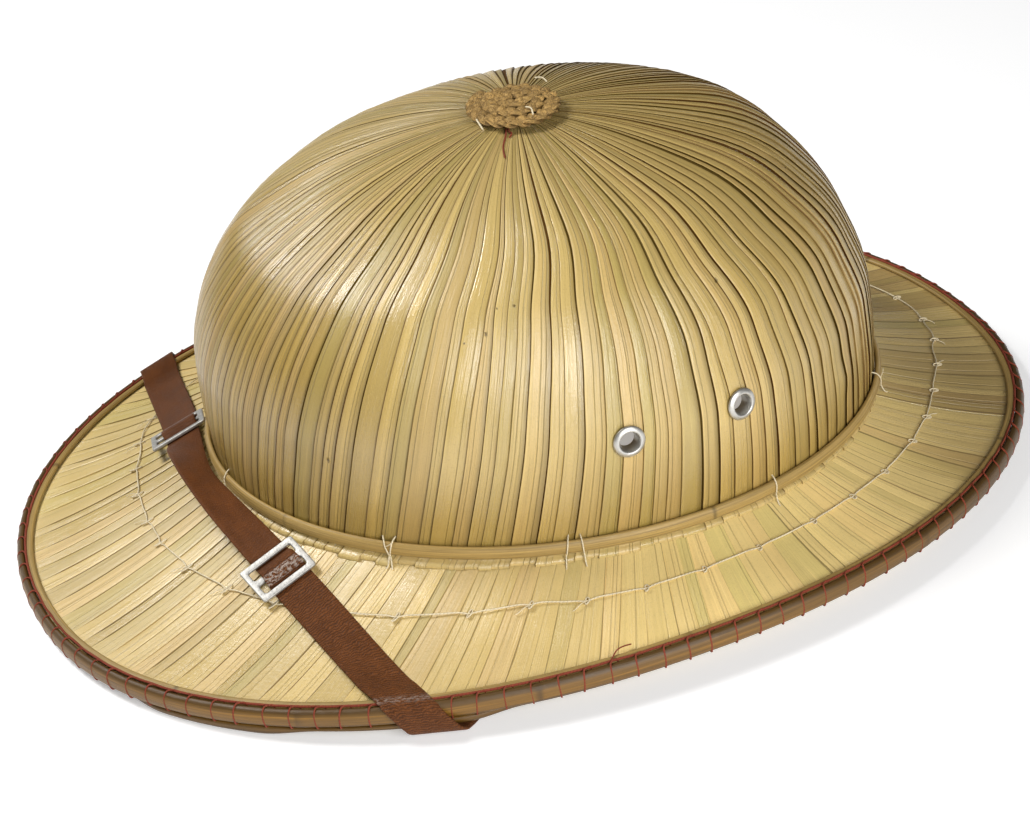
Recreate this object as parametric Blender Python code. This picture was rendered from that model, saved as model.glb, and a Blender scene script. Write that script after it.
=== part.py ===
"""Palm-leaf pith helmet: ribbed leaf crown and brim, split-bamboo hoops, braided top button,
vent eyelets and a chin strap with two sliders, worn over the front of the brim.

Metres, +Z up. The wearer faces -Y and +X is the wearer's left. The origin is on the ground
under the middle of the rim, and the helmet stands on its rim.
"""
import math

import bmesh
import bpy
from mathutils import Matrix, Vector

# ---- spacing ---------------------------------------------------------------------------
GAP = 0.0003                    # clearance between pieces that touch
LEAF_COLUMNS = 108              # points round a leaf skin: a crest and a valley for each rib
HOOP_COLUMNS = 72               # points round a bamboo hoop

# ---- rim: line of the binding thread on top of the edge ----------------------------------
RIM_HALF_LENGTH = 0.180
RIM_HALF_WIDTH = 0.141
RIM_SQUARENESS = 2.15           # 2 is an ellipse, more is squarer
RIM_HEIGHT = 0.0110
RIM_SADDLE = 0.0026             # the sides of the rim stand higher than its front and back

# ---- crown -------------------------------------------------------------------------------
CROWN_CENTRE_Y = 0.0104
CROWN_HALF_LENGTH = 0.1195
CROWN_HALF_WIDTH = 0.103
CROWN_FOOT_HEIGHT = 0.0322      # top edge of the foot hoop
CROWN_FOOT_PITCH = 0.0056       # the foot is higher in front by this, lower behind
CROWN_TOP = 0.1379
CROWN_WALL = 0.0019
CROWN_RIB = 0.00040             # relief of the overlapping leaf strips
# Sections of the crown: share of its height, share of its half sizes, slide to the back.
CROWN_SECTIONS = (
    {"height": 0.00, "reach": 1.000, "slide": 0.0000},
    {"height": 0.12, "reach": 1.005, "slide": -0.0004},
    {"height": 0.30, "reach": 0.999, "slide": -0.0010},
    {"height": 0.50, "reach": 0.948, "slide": -0.0020},
    {"height": 0.70, "reach": 0.830, "slide": -0.0015},
    {"height": 0.85, "reach": 0.643, "slide": 0.0020},
    {"height": 0.95, "reach": 0.378, "slide": 0.0005},
    {"height": 1.00, "reach": 0.000, "slide": 0.0000},
)
CROWN_CAP_ROWS = (0.985, 0.95)   # smooth rows under the button, with half the columns
CROWN_OUTER_ROWS = (0.89, 0.79, 0.67, 0.54, 0.41, 0.28, 0.14, 0.00)
CROWN_INNER_ROWS = (0.20, 0.34, 0.50, 0.66, 0.80, 0.90, 0.97)
TAB_LENGTH = 0.0040             # leaf ends of the crown, splayed out on the brim
TAB_STEP = 0.0007               # uneven cut of those ends
TAB_THICKNESS = 0.0010

# ---- brim --------------------------------------------------------------------------------
BRIM_WALL = 0.0018
BRIM_RIB = 0.00035
BRIM_FLARE = 1.45               # slope beside the crown against the mean slope
BRIM_TOP_ROWS = (0.10, 0.36, 0.70)
BRIM_UNDER_ROWS = (0.45,)

# ---- bamboo hoops ------------------------------------------------------------------------
FOOT_HOOP_HEIGHT = 0.0045
FOOT_HOOP_THICKNESS = 0.0019
OUTER_HOOP_HEIGHT = 0.0065
OUTER_HOOP_THICKNESS = 0.0031
TOP_HOOP_WIDTH = 0.0032
TOP_HOOP_THICKNESS = 0.0015
UNDER_HOOP_WIDTH = 0.0038
UNDER_HOOP_DEPTH = 0.0087       # from the thread line down to the foot of the rim
# The under hoop's lapped stretch hangs out below the outer hoop on the left of the front.
LAP_START = math.radians(22)
LAP_FULL_START = math.radians(29)
LAP_FULL_END = math.radians(64)
LAP_END = math.radians(70)
LAP_REACH = 0.0022              # outward reach of the lapped stretch past the thread line
LAP_LIFT_START = math.radians(42)
LAP_LIFT_END = math.radians(49)
LAP_LIFT = 0.0027               # its clearance from the ground where the strap passes under

# ---- braided button ----------------------------------------------------------------------
BUTTON_RADIUS = 0.0160
BUTTON_SIDES = 20
BRAID_WIDTH = 0.0050
BRAID_HEIGHT = 0.0040
BRAID_GROOVE = 0.0014

# ---- eyelets -----------------------------------------------------------------------------
EYELET_BEARINGS = {"front": math.radians(83.5), "back": math.radians(103.5)}
EYELET_HEIGHT_SHARE = 0.314
EYELET_RADIUS = 0.0055
EYELET_BORE = 0.0028
EYELET_BARREL = 0.0033
EYELET_BACK_RADIUS = 0.0046
EYELET_LIP = 0.0009
EYELET_SIDES = 12
EYELET_SEAT = 0.0004            # height of the leaf ribs under the lip
EYELET_BACK_CLEARANCE = 0.0008  # inside, where the wall curves behind the flat flange

# ---- strap -------------------------------------------------------------------------------
STRAP_WIDTH = 0.0128            # between the sliders, where it is drawn narrower
STRAP_END_WIDTHS = {"left": 0.0144, "right": 0.0138}    # past each slider
STRAP_THICKNESS = 0.0012
STRAP_LIFT = 0.0015             # middle of the strap above the brim's mean surface
STRAP_TAB_LIFT = 0.0014         # extra lift where it crosses the crown's leaf ends
STRAP_BOW_HALF_WIDTH = 0.1106   # ellipse of its middle line where it bears on the foot hoop
STRAP_BOW_HALF_LENGTH = 0.1271
STRAP_BOW_ENDS = {"left": math.radians(8), "right": math.radians(13)}
STRAP_BOW_PULL = 0.30           # how far the bow's curve carries on towards the rim
STRAP_RIM_BEARING = math.radians(58)
# Its outer edge stands off the brim near the front middle, where the band bends edgeways.
STRAP_RAISE = math.radians(50)
STRAP_RAISE_LIFT = 0.0030       # rise of its inner edge there, against the foot hoop
STRAP_RAISE_START = -0.042      # along X
STRAP_RAISE_PEAK = -0.008
STRAP_RAISE_END = 0.060
STRAP_STEP = 0.012
STRAP_TOP_STOP = 0.0100         # the stretch on the brim ends this far from the thread line
# Middle line of the strap round the rim hoops, from the thread line.
STRAP_WRAP = (
    {"out": -0.0060, "up": 0.00180},
    {"out": -0.0025, "up": 0.00165},
    {"out": 0.0012, "up": 0.00130},
    {"out": 0.0030, "up": 0.00050},
    {"out": 0.0040, "up": -0.00100},
    {"out": 0.0042, "up": -0.00350},
    {"out": 0.0042, "up": -0.00700},
    {"out": 0.0036, "up": -0.00940},
    {"out": 0.0022, "up": -0.01085},
    {"out": -0.0010, "up": -0.01110},
    {"out": -0.0055, "up": -0.01100},
)
# Middle line of the strap round the crown's lower inner edge, from that edge.
STRAP_KNEE = (
    {"out": 0.0028, "up": -0.0036},
    {"out": 0.0000, "up": -0.0023},
    {"out": -0.0017, "up": -0.0010},
    {"out": -0.0022, "up": 0.0010},
)
STRAP_SPAN_SHARES = (1 / 6, 2 / 6, 3 / 6, 4 / 6, 5 / 6)     # stations of the slack stretch between those two
STRAP_WALL_GAP = 0.0009         # a flat strap stands off the curved wall at its middle
STRAP_END_LENGTH = 0.019        # up the crown's inner wall
STRAP_PIN_LENGTH = 0.0042       # from the start of that climb to the pin

# ---- sliders -----------------------------------------------------------------------------
SLIDER_LENGTH = 0.0152
SLIDER_SPAN = 0.0212
SLIDER_SHIFT = 0.0010           # towards the strap's outer edge; the strap lies at one end of its slots
SLIDER_THICKNESS = 0.0012
SLIDER_RAIL = 0.0021
SLIDER_BAR = 0.0020
SLIDER_CORNER = 0.0016
SLIDER_WAVE = 0.0031            # rise of the strap over the middle bar
SLIDER_WAVE_START = 0.0010
SLIDER_WAVE_END = 0.0054
SLIDER_EASE = 0.003             # the strap lies straight in its slider and bends this far beyond it
SLIDER_PLACES = {"left": 0.0550, "right": 0.0480}    # from the front middle, along the strap
SIDES = {"left": 1.0, "right": -1.0}

# ---- strap pins --------------------------------------------------------------------------
PIN_RADIUS = 0.0012
PIN_HEAD_RADIUS = 0.0030
PIN_HEAD = 0.0008
PIN_SIDES = 12
PIN_BORE_LENGTH = 0.012


# ---- curves and surfaces -----------------------------------------------------------------
def blend(value, start, end):
    """Smooth step from 0 at start to 1 at end."""
    share = min(1.0, max(0.0, (value - start) / (end - start)))
    return share * share * (3.0 - 2.0 * share)


def monotone_slopes(places, values):
    """Slopes of a cubic through the table that never overshoots it."""
    steps = [b - a for a, b in zip(places, places[1:])]
    rises = [(b - a) / h for a, b, h in zip(values, values[1:], steps)]
    slopes = [rises[0]]
    for left, right, before, after in zip(rises, rises[1:], steps, steps[1:]):
        if left * right <= 0.0:
            slopes.append(0.0)
        else:
            heavy = 2.0 * after + before
            light = after + 2.0 * before
            slopes.append((heavy + light) / (heavy / left + light / right))
    slopes.append(rises[-1])
    return slopes


def table_curve(column, power=1):
    """A smooth function of the height share, through one column of the crown's sections."""
    places = [row["height"] for row in CROWN_SECTIONS]
    values = [row[column] ** power for row in CROWN_SECTIONS]
    slopes = monotone_slopes(places, values)

    def curve(place):
        index = max(i for i, start in enumerate(places[:-1]) if start <= place or i == 0)
        width = places[index + 1] - places[index]
        t = (place - places[index]) / width
        start_part = values[index] * (1 + 2 * t) * (1 - t) ** 2 + slopes[index] * width * t * (1 - t) ** 2
        end_part = values[index + 1] * t * t * (3 - 2 * t) - slopes[index + 1] * width * t * t * (1 - t)
        return max(0.0, start_part + end_part) ** (1.0 / power) if power > 1 else start_part + end_part

    return curve


crown_reach = table_curve("reach", power=2)
crown_slide = table_curve("slide")


def rim_point(bearing):
    """The thread line on the rim; bearing 0 is the front, 90 degrees the wearer's left."""
    sine, cosine = math.sin(bearing), math.cos(bearing)
    scale = (abs(sine) ** RIM_SQUARENESS + abs(cosine) ** RIM_SQUARENESS) ** (-1.0 / RIM_SQUARENESS)
    height = RIM_HEIGHT - RIM_SADDLE * math.cos(2.0 * bearing)
    return Vector((RIM_HALF_WIDTH * sine * scale, -RIM_HALF_LENGTH * cosine * scale, height))


def foot_point(bearing, inset=0.0):
    """The crown's outer wall at the top edge of the foot hoop."""
    x = (CROWN_HALF_WIDTH - inset) * math.sin(bearing)
    y = CROWN_CENTRE_Y - (CROWN_HALF_LENGTH - inset) * math.cos(bearing)
    return Vector((x, y, CROWN_FOOT_HEIGHT + CROWN_FOOT_PITCH * math.cos(bearing)))


def outward(line, bearing):
    """Level unit vector square to a ring line, pointing away from the crown."""
    step = 0.002
    along = line(bearing + step) - line(bearing - step)
    return Vector((along.y, -along.x, 0.0)).normalized()


def crown_point(bearing, share, inset=0.0):
    """The crown's wall at a share of its height, set in by a wall thickness."""
    foot = foot_point(bearing, inset)
    reach = crown_reach(share)
    x = foot.x * reach
    y = CROWN_CENTRE_Y + crown_slide(share) + (foot.y - CROWN_CENTRE_Y) * reach
    return Vector((x, y, foot.z + (CROWN_TOP - inset - foot.z) * share))


def crown_normal(bearing, share):
    """Outward unit normal of the crown's wall."""
    step = 0.004
    along = crown_point(bearing + step, share) - crown_point(bearing - step, share)
    rise = crown_point(bearing, share + step) - crown_point(bearing, share - step)
    return along.cross(rise).normalized()


def brim_point(bearing, share, drop=0.0):
    """The brim's mean upper surface: share 0 is the crown's foot, share 1 the thread line."""
    foot = foot_point(bearing)
    rim = rim_point(bearing)
    start = foot.z - FOOT_HOOP_HEIGHT - TAB_THICKNESS - 2.0 * GAP
    end = rim.z - TOP_HOOP_THICKNESS - GAP
    fall = BRIM_FLARE * share + (1.0 - BRIM_FLARE) * share * share
    point = foot.lerp(rim, share)
    point.z = start + (end - start) * fall - drop
    return point


def brim_width(bearing):
    """Level width of the brim at a bearing."""
    return (rim_point(bearing) - foot_point(bearing)).to_2d().length


def brim_normal(bearing, share):
    """Upward unit normal of the brim's upper surface."""
    step = 0.004
    along = brim_point(bearing + step, share) - brim_point(bearing - step, share)
    down = brim_point(bearing, share + step) - brim_point(bearing, share - step)
    return down.cross(along).normalized()


def brim_place(x, y):
    """Bearing and share of the brim point above a place on the ground."""
    bearing = math.atan2(x * CROWN_HALF_LENGTH, (CROWN_CENTRE_Y - y) * CROWN_HALF_WIDTH)
    share = 0.5
    step = 1e-4
    for _ in range(12):
        here = brim_point(bearing, share)
        turn = (brim_point(bearing + step, share) - here) / step
        slide = (brim_point(bearing, share + step) - here) / step
        miss_x, miss_y = x - here.x, y - here.y
        area = turn.x * slide.y - turn.y * slide.x
        bearing += (miss_x * slide.y - miss_y * slide.x) / area
        share += (turn.x * miss_y - turn.y * miss_x) / area
    return bearing, share


# ---- mesh helpers ------------------------------------------------------------------------
def material(name, colour, roughness, metallic=0.0):
    """A plain finish with the sub-part's own colour."""
    finish = bpy.data.materials.new(name)
    finish.use_nodes = True
    shader = finish.node_tree.nodes["Principled BSDF"]
    shader.inputs["Base Color"].default_value = (*colour, 1.0)
    shader.inputs["Roughness"].default_value = roughness
    shader.inputs["Metallic"].default_value = metallic
    finish.diffuse_color = (*colour, 1.0)
    return finish


def add_object(name, bm, finish, sharp_angle=35.0):
    """Give a finished mesh its object, with round faces shaded smooth."""
    bmesh.ops.recalc_face_normals(bm, faces=bm.faces)
    mesh = bpy.data.meshes.new(name)
    bm.to_mesh(mesh)
    bm.free()
    mesh.shade_smooth()
    mesh.set_sharp_from_angle(angle=math.radians(sharp_angle))
    mesh.materials.append(finish)
    obj = bpy.data.objects.new(name, mesh)
    bpy.context.scene.collection.objects.link(obj)
    return obj


def loft(rings, closed=False, caps=False):
    """Skin a row of rings. A ring may have half its neighbour's points, or one as a pole."""
    bm = bmesh.new()
    loops = [[bm.verts.new(point) for point in ring] for ring in rings]
    pairs = list(zip(loops, loops[1:]))
    if closed:
        pairs.append((loops[-1], loops[0]))
    for one, two in pairs:
        count = max(len(one), len(two))
        for i in range(count):
            corners = [one[i * len(one) // count], one[(i + 1) * len(one) // count % len(one)]]
            corners += [two[(i + 1) * len(two) // count % len(two)], two[i * len(two) // count]]
            bm.faces.new(list(dict.fromkeys(corners)))
    if caps:
        bm.faces.new(loops[0])
        bm.faces.new(loops[-1])
    return bm


def bearings(columns):
    """Even bearings round the helmet, starting at the front."""
    return [2.0 * math.pi * i / columns for i in range(columns)]


def rib(index, size):
    """Crest on even columns, valley on odd ones."""
    return size if index % 2 == 0 else -size


def circles(profile, sides):
    """One circle round Z for each (radius, height) row."""
    angles = [2.0 * math.pi * i / sides for i in range(sides)]
    return [[Vector((r * math.cos(a), r * math.sin(a), height)) for a in angles] for r, height in profile]


def turned(name, profile, sides, finish, place):
    """Spin a closed profile of (radius, height) rows about Z, then place it."""
    obj = add_object(name, loft(circles(profile, sides), closed=True), finish)
    obj.matrix_world = place
    return obj


def axis_frame(place, axis):
    """Matrix that puts the origin at a place with +Z along an axis."""
    return Matrix.Translation(place) @ axis.to_track_quat("Z", "Y").to_matrix().to_4x4()


def bore(target, place, axis, radius, length, sides=12):
    """Cut a round hole through a piece with a hidden cutter."""
    bm = bmesh.new()
    bmesh.ops.create_cone(bm, cap_ends=True, segments=sides, radius1=radius, radius2=radius, depth=length)
    mesh = bpy.data.meshes.new("bore_cutter")
    bm.to_mesh(mesh)
    bm.free()
    cutter = bpy.data.objects.new("bore_cutter", mesh)
    bpy.context.scene.collection.objects.link(cutter)
    cutter.matrix_world = axis_frame(place, axis)
    cutter.hide_render = True
    cutter.display_type = "WIRE"
    cut = target.modifiers.new("bore", "BOOLEAN")
    cut.operation = "DIFFERENCE"
    cut.solver = "EXACT"
    cut.object = cutter


# ---- leaf crown and brim -----------------------------------------------------------------
def build_crown(finish):
    """Ribbed leaf shell, open below, with its leaf ends splayed out on the brim."""
    columns = bearings(LEAF_COLUMNS)
    smooth_columns = columns[::2]
    rings = [[crown_point(0.0, 1.0)]]
    rings += [[crown_point(b, share) for b in smooth_columns] for share in CROWN_CAP_ROWS]
    for share in CROWN_OUTER_ROWS:
        size = CROWN_RIB * min(1.0, crown_reach(share)) * (0.5 if share == 0.0 else 1.0)
        rings.append([
            crown_point(b, share) + crown_normal(b, max(share, 0.02)) * rib(i, size)
            for i, b in enumerate(columns)
        ])
    shoulder, tab_top, tab_under, sole = [], [], [], []
    for i, b in enumerate(columns):
        width = brim_width(b)
        length = TAB_LENGTH + TAB_STEP * math.sin(2.9 * i) + rib(i, TAB_STEP * 0.3)
        shoulder.append(brim_point(b, 0.0, -GAP - TAB_THICKNESS))
        tab_top.append(brim_point(b, length / width, -GAP - TAB_THICKNESS))
        tab_under.append(brim_point(b, length / width, -GAP))
        sole.append(brim_point(b, -CROWN_WALL / width, -GAP))
    rings += [shoulder, tab_top, tab_under, sole]
    for share in CROWN_INNER_ROWS:
        rings.append([crown_point(b, share, CROWN_WALL) for b in smooth_columns])
    rings.append([crown_point(0.0, 1.0, CROWN_WALL)])
    return add_object("crown", loft(rings), finish, 60.0)


def build_brim(finish):
    """Ribbed leaf ring, concave above, from under the crown's wall out to the rim hoops."""
    columns = bearings(LEAF_COLUMNS)

    def row(share_of, drop, size):
        ring = []
        for i, b in enumerate(columns):
            ring.append(brim_point(b, share_of(brim_width(b)), drop - rib(i, size)))
        return ring

    def inner(width):
        return -CROWN_WALL / width

    def edge(width):
        return 1.0 - 0.5 * GAP / width

    def under_hoop(width):
        return 1.0 - (UNDER_HOOP_WIDTH + GAP) / width

    rings = [row(inner, 0.0, 0.0)]
    rings += [row(lambda width, s=s: s, 0.0, BRIM_RIB * blend(s, 0.0, 0.25)) for s in BRIM_TOP_ROWS]
    rings += [row(under_hoop, 0.0, 0.0), row(edge, 0.0, 0.0)]
    rings += [row(edge, BRIM_WALL, 0.0), row(under_hoop, BRIM_WALL, 0.0)]
    rings += [row(lambda width, s=s: s, BRIM_WALL, BRIM_RIB) for s in BRIM_UNDER_ROWS]
    rings += [row(inner, BRIM_WALL, 0.0)]
    return add_object("brim", loft(rings, closed=True), finish, 60.0)


# ---- bamboo hoops ------------------------------------------------------------------------
def hoop(name, line, section, finish):
    """Sweep a section round a ring line; section(bearing) gives rows of outward and up."""
    columns = bearings(HOOP_COLUMNS)
    slices = []
    for b in columns:
        side = outward(line, b)
        slices.append([line(b) + side * out + Vector((0.0, 0.0, up)) for out, up in section(b)])
    rings = [list(ring) for ring in zip(*slices)]
    return add_object(name, loft(rings, closed=True), finish, 50.0)


def build_foot_hoop(finish):
    """Split-bamboo strip round the crown's foot."""
    back = GAP + 0.5 * CROWN_RIB
    face = back + FOOT_HOOP_THICKNESS
    depth = FOOT_HOOP_HEIGHT

    def section(bearing):
        return [
            (back, -0.05 * depth), (face - 0.3 * FOOT_HOOP_THICKNESS, 0.0), (face, -0.3 * depth),
            (face - 0.1 * FOOT_HOOP_THICKNESS, -depth), (back, -0.95 * depth),
        ]

    return hoop("crown_hoop", foot_point, section, finish)


def build_outer_hoop(finish):
    """Half-round bamboo outside the edge of the brim."""
    back, face, depth = 0.5 * GAP, OUTER_HOOP_THICKNESS, OUTER_HOOP_HEIGHT

    def section(bearing):
        return [
            (back, -0.1 * depth), (0.5 * face, 0.0), (0.93 * face, -0.22 * depth),
            (face, -0.6 * depth), (0.8 * face, -0.92 * depth), (back, -depth),
        ]

    return hoop("rim_hoop_outer", rim_point, section, finish)


def rim_slope(bearing):
    """Fall of the brim's upper surface at its edge, against distance outward."""
    width = brim_width(bearing)
    near = 1.0 - UNDER_HOOP_WIDTH / width
    return (brim_point(bearing, near).z - brim_point(bearing, 1.0).z) / UNDER_HOOP_WIDTH


def build_top_hoop(finish):
    """Thin flat bamboo strip on top of the brim's edge."""
    outer = -0.5 * GAP
    inner = outer - TOP_HOOP_WIDTH
    thick = TOP_HOOP_THICKNESS

    def section(bearing):
        rise = rim_slope(bearing) * TOP_HOOP_WIDTH
        return [
            (inner, rise - thick), (inner + 0.1 * TOP_HOOP_WIDTH, rise - 0.1 * thick),
            (outer, -0.1 * thick), (outer, -thick),
        ]

    return hoop("rim_hoop_top", rim_point, section, finish)


def lap_share(bearing):
    """How far the under hoop's lapped stretch stands out, from 0 to 1."""
    return blend(bearing, LAP_START, LAP_FULL_START) - blend(bearing, LAP_FULL_END, LAP_END)


def rim_foot_height(bearing):
    """Height of the under hoop's lower face above the ground."""
    plain = max(0.0, rim_point(bearing).z - UNDER_HOOP_DEPTH)
    lapped = LAP_LIFT * blend(bearing, LAP_LIFT_START, LAP_LIFT_END)
    return plain + (min(plain, lapped) - plain) * lap_share(bearing)


def build_under_hoop(finish):
    """Bamboo strip under the brim's edge; the helmet stands on it."""
    outer = -0.5 * GAP
    inner = outer - UNDER_HOOP_WIDTH
    ceiling = -TOP_HOOP_THICKNESS - BRIM_WALL - 2.0 * GAP
    clear = -OUTER_HOOP_HEIGHT - 1.3 * GAP

    def section(bearing):
        lap = lap_share(bearing)
        foot = rim_foot_height(bearing) - rim_point(bearing).z
        reach = outer + (LAP_REACH - outer) * lap
        return [
            (inner, ceiling + rim_slope(bearing) * UNDER_HOOP_WIDTH), (outer, ceiling),
            (outer, clear), (reach, clear - GAP * (1.0 - lap) - 0.1 * GAP),
            (reach - 0.0006 * lap, foot), (inner + 0.0004, foot),
        ]

    return hoop("rim_hoop_under", rim_point, section, finish)


# ---- button and eyelets ------------------------------------------------------------------
def build_button(finish):
    """Round coil of braid on the crown's top, ridged where its turns lie."""
    turns = 3
    top = CROWN_TOP + GAP + 0.0002
    rows = [(BUTTON_RADIUS - 0.0006, 0.12), (BUTTON_RADIUS, 0.45)]
    for turn in range(turns):
        outer_edge = BUTTON_RADIUS - BRAID_WIDTH * turn
        rows += [(outer_edge - 0.25 * BRAID_WIDTH, 0.92), (outer_edge - 0.65 * BRAID_WIDTH, 1.0)]
        if turn < turns - 1:
            rows.append((outer_edge - BRAID_WIDTH, 1.0 - BRAID_GROOVE / BRAID_HEIGHT))
    centre = Vector((0.0, crown_point(0.0, 1.0).y, 0.0))

    def dome(radius):
        """Height of the crown's top at a distance from its middle."""
        low, high = 0.9, 1.0
        for _ in range(30):
            middle = 0.5 * (low + high)
            if crown_reach(middle) * CROWN_HALF_WIDTH > radius:
                low = middle
            else:
                high = middle
        return crown_point(0.0, low).z - CROWN_TOP + top

    def ring(radius, height):
        angles = [2.0 * math.pi * i / BUTTON_SIDES for i in range(BUTTON_SIDES)]
        z = dome(radius) + height
        return [centre + Vector((radius * math.cos(a), radius * math.sin(a), z)) for a in angles]

    rings = [[centre + Vector((0.0, 0.0, top))]]
    rings += [ring(0.5 * BUTTON_RADIUS, 0.0), ring(BUTTON_RADIUS - 0.0012, 0.0002)]
    rings += [ring(radius, BRAID_HEIGHT * height) for radius, height in rows]
    rings.append([centre + Vector((0.0, 0.0, top + 0.85 * BRAID_HEIGHT))])
    return add_object("top_button", loft(rings), finish, 50.0)


def build_eyelets(crown, finish):
    """Two metal vent eyelets on each side, clinched through the crown."""
    lip_base = EYELET_SEAT + GAP
    back_face = -CROWN_WALL - EYELET_BACK_CLEARANCE
    back_end = back_face - 0.6 * EYELET_LIP
    profile = [
        (EYELET_BORE, lip_base + EYELET_LIP * 0.8), (EYELET_BORE + 0.0007, lip_base + EYELET_LIP),
        (EYELET_RADIUS - 0.0008, lip_base + EYELET_LIP * 0.8), (EYELET_RADIUS, lip_base),
        (EYELET_BARREL, lip_base), (EYELET_BARREL, back_face), (EYELET_BACK_RADIUS, back_face),
        (EYELET_BACK_RADIUS - 0.0005, back_end), (EYELET_BORE, back_end),
    ]
    for side, sign in SIDES.items():
        for end, bearing in EYELET_BEARINGS.items():
            place = crown_point(sign * bearing, EYELET_HEIGHT_SHARE)
            axis = crown_normal(sign * bearing, EYELET_HEIGHT_SHARE)
            turned(f"eyelet_{side}_{end}", profile, EYELET_SIDES, finish, axis_frame(place, axis))
            bore(crown, place, axis, EYELET_BARREL + GAP, 8.0 * CROWN_WALL)


# ---- strap -------------------------------------------------------------------------------
# A run of the strap is a list of (place, across): a point of its middle line and the
# straight line across the leather there, which is slanted where the strap rounds an edge.
def bow_point(angle):
    """Plan of the strap's middle line where it bears on the foot hoop."""
    x = STRAP_BOW_HALF_WIDTH * math.sin(angle)
    return Vector((x, CROWN_CENTRE_Y - STRAP_BOW_HALF_LENGTH * math.cos(angle)))


def strap_rim_frame():
    """Thread-line point where the strap crosses the rim, with its outward, along and up axes."""
    step = 0.002
    along = rim_point(STRAP_RIM_BEARING + step) - rim_point(STRAP_RIM_BEARING - step)
    along.normalize()
    out = outward(rim_point, STRAP_RIM_BEARING)
    return rim_point(STRAP_RIM_BEARING), out, along, out.cross(along)


def strap_raise(x):
    """Share of the lift that takes the strap's outer edge off the brim."""
    return blend(x, STRAP_RAISE_START, STRAP_RAISE_PEAK) - blend(x, STRAP_RAISE_PEAK, STRAP_RAISE_END)


def strap_top_plans(name):
    """Plan of the stretch on the brim: round the foot hoop, then in an easy curve to the rim."""
    turn = STRAP_BOW_ENDS[name]
    start = bow_point(turn)
    end = strap_rim_frame()[0].to_2d()
    length = (end - start).length
    heading = (end - start) / length
    pull = Vector((STRAP_BOW_HALF_WIDTH * math.cos(turn), STRAP_BOW_HALF_LENGTH * math.sin(turn)))
    pull = (pull.normalized() - heading) * length * STRAP_BOW_PULL
    bow_count = round(start.x / STRAP_STEP)
    plans = [bow_point(turn * i / bow_count) for i in range(bow_count)]
    count = round(length / STRAP_STEP)
    for i in range(count + 1):
        share = i / count * (1.0 - STRAP_TOP_STOP / length)
        plans.append(start.lerp(end, share) + pull * share * (1.0 - share) ** 2)
    return plans


def strap_top_run(name):
    """The stretch on the brim, from the front middle to just short of the rim.

    It is worked out on the left; the right stretch is mirrored afterwards.
    """
    _, _, along, _ = strap_rim_frame()
    plans = strap_top_plans(name)
    run = []
    for i, plan in enumerate(plans):
        ahead = plans[min(i + 1, len(plans) - 1)] - plans[i - 1] if i else Vector((1.0, 0.0))
        ahead = ahead.normalized().to_3d()
        raised = strap_raise(SIDES[name] * plan.x)
        bearing, share = brim_place(plan.x, plan.y)
        reach = share * brim_width(bearing) - 0.5 * STRAP_WIDTH
        lift = STRAP_LIFT + STRAP_TAB_LIFT * (1.0 - blend(reach, 0.002, 0.012)) + STRAP_RAISE_LIFT * raised
        normal = brim_normal(bearing, share)
        flat = ahead.cross(normal).normalized()
        inner_edge = brim_point(bearing, share) + normal * lift - flat * 0.5 * STRAP_WIDTH
        tilt = STRAP_RAISE * raised
        across = flat * math.cos(tilt) + flat.cross(ahead) * math.sin(tilt)
        slant = blend(plan.x, plans[-1].x - 0.028, plans[-1].x - 0.003)
        run.append((inner_edge + across * 0.5 * STRAP_WIDTH, across.lerp(-along, slant).normalized()))
    return run, (plans[-1] - plans[-2]).normalized()


def strap_wrap_run(heading):
    """The turn round the rim hoops, and the plan direction in which it leaves."""
    place, out, along, up = strap_rim_frame()
    slant = heading.dot(along.to_2d().normalized()) / heading.dot(out.to_2d())
    rows = [Vector((row["out"], row["up"])) for row in STRAP_WRAP]
    travel = rows[0].x
    run = []
    for i, row in enumerate(rows):
        if i:
            travel += (row - rows[i - 1]).length
        run.append((place + out * row.x + up * row.y + along * slant * travel, -along))
    leave = (along * slant - out).to_2d().normalized()
    return run, leave


def strap_knee_run(start, leave):
    """The slack stretch under the brim and its turn round the crown's lower edge."""
    def inside(plan):
        x = plan.x / (CROWN_HALF_WIDTH - CROWN_WALL)
        y = (plan.y - CROWN_CENTRE_Y) / (CROWN_HALF_LENGTH - CROWN_WALL)
        return math.hypot(x, y)

    plan = start[0].to_2d()
    while inside(plan) > 1.0:
        plan += leave * 0.0001
    bearing = math.atan2(plan.x * CROWN_HALF_LENGTH, (CROWN_CENTRE_Y - plan.y) * CROWN_HALF_WIDTH)
    edge = brim_point(bearing, -CROWN_WALL / brim_width(bearing), BRIM_WALL)
    side = outward(foot_point, bearing)
    along = Vector((-side.y, side.x, 0.0))
    slant = leave.dot(along.to_2d()) / -leave.dot(side.to_2d())
    rows = [Vector((row["out"], row["up"])) for row in STRAP_KNEE]
    travel = -rows[0].x
    knee = []
    for i, row in enumerate(rows):
        if i:
            travel += (row - rows[i - 1]).length
        place = Vector((plan.x, plan.y, edge.z + row.y)) + side * row.x
        knee.append((place + along * slant * travel, -along))
    span = []
    for share in STRAP_SPAN_SHARES:
        place, across = start[0].lerp(knee[0][0], share), start[1].lerp(knee[0][1], share)
        span.append((place, across.normalized()))
    return span + knee, slant


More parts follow.
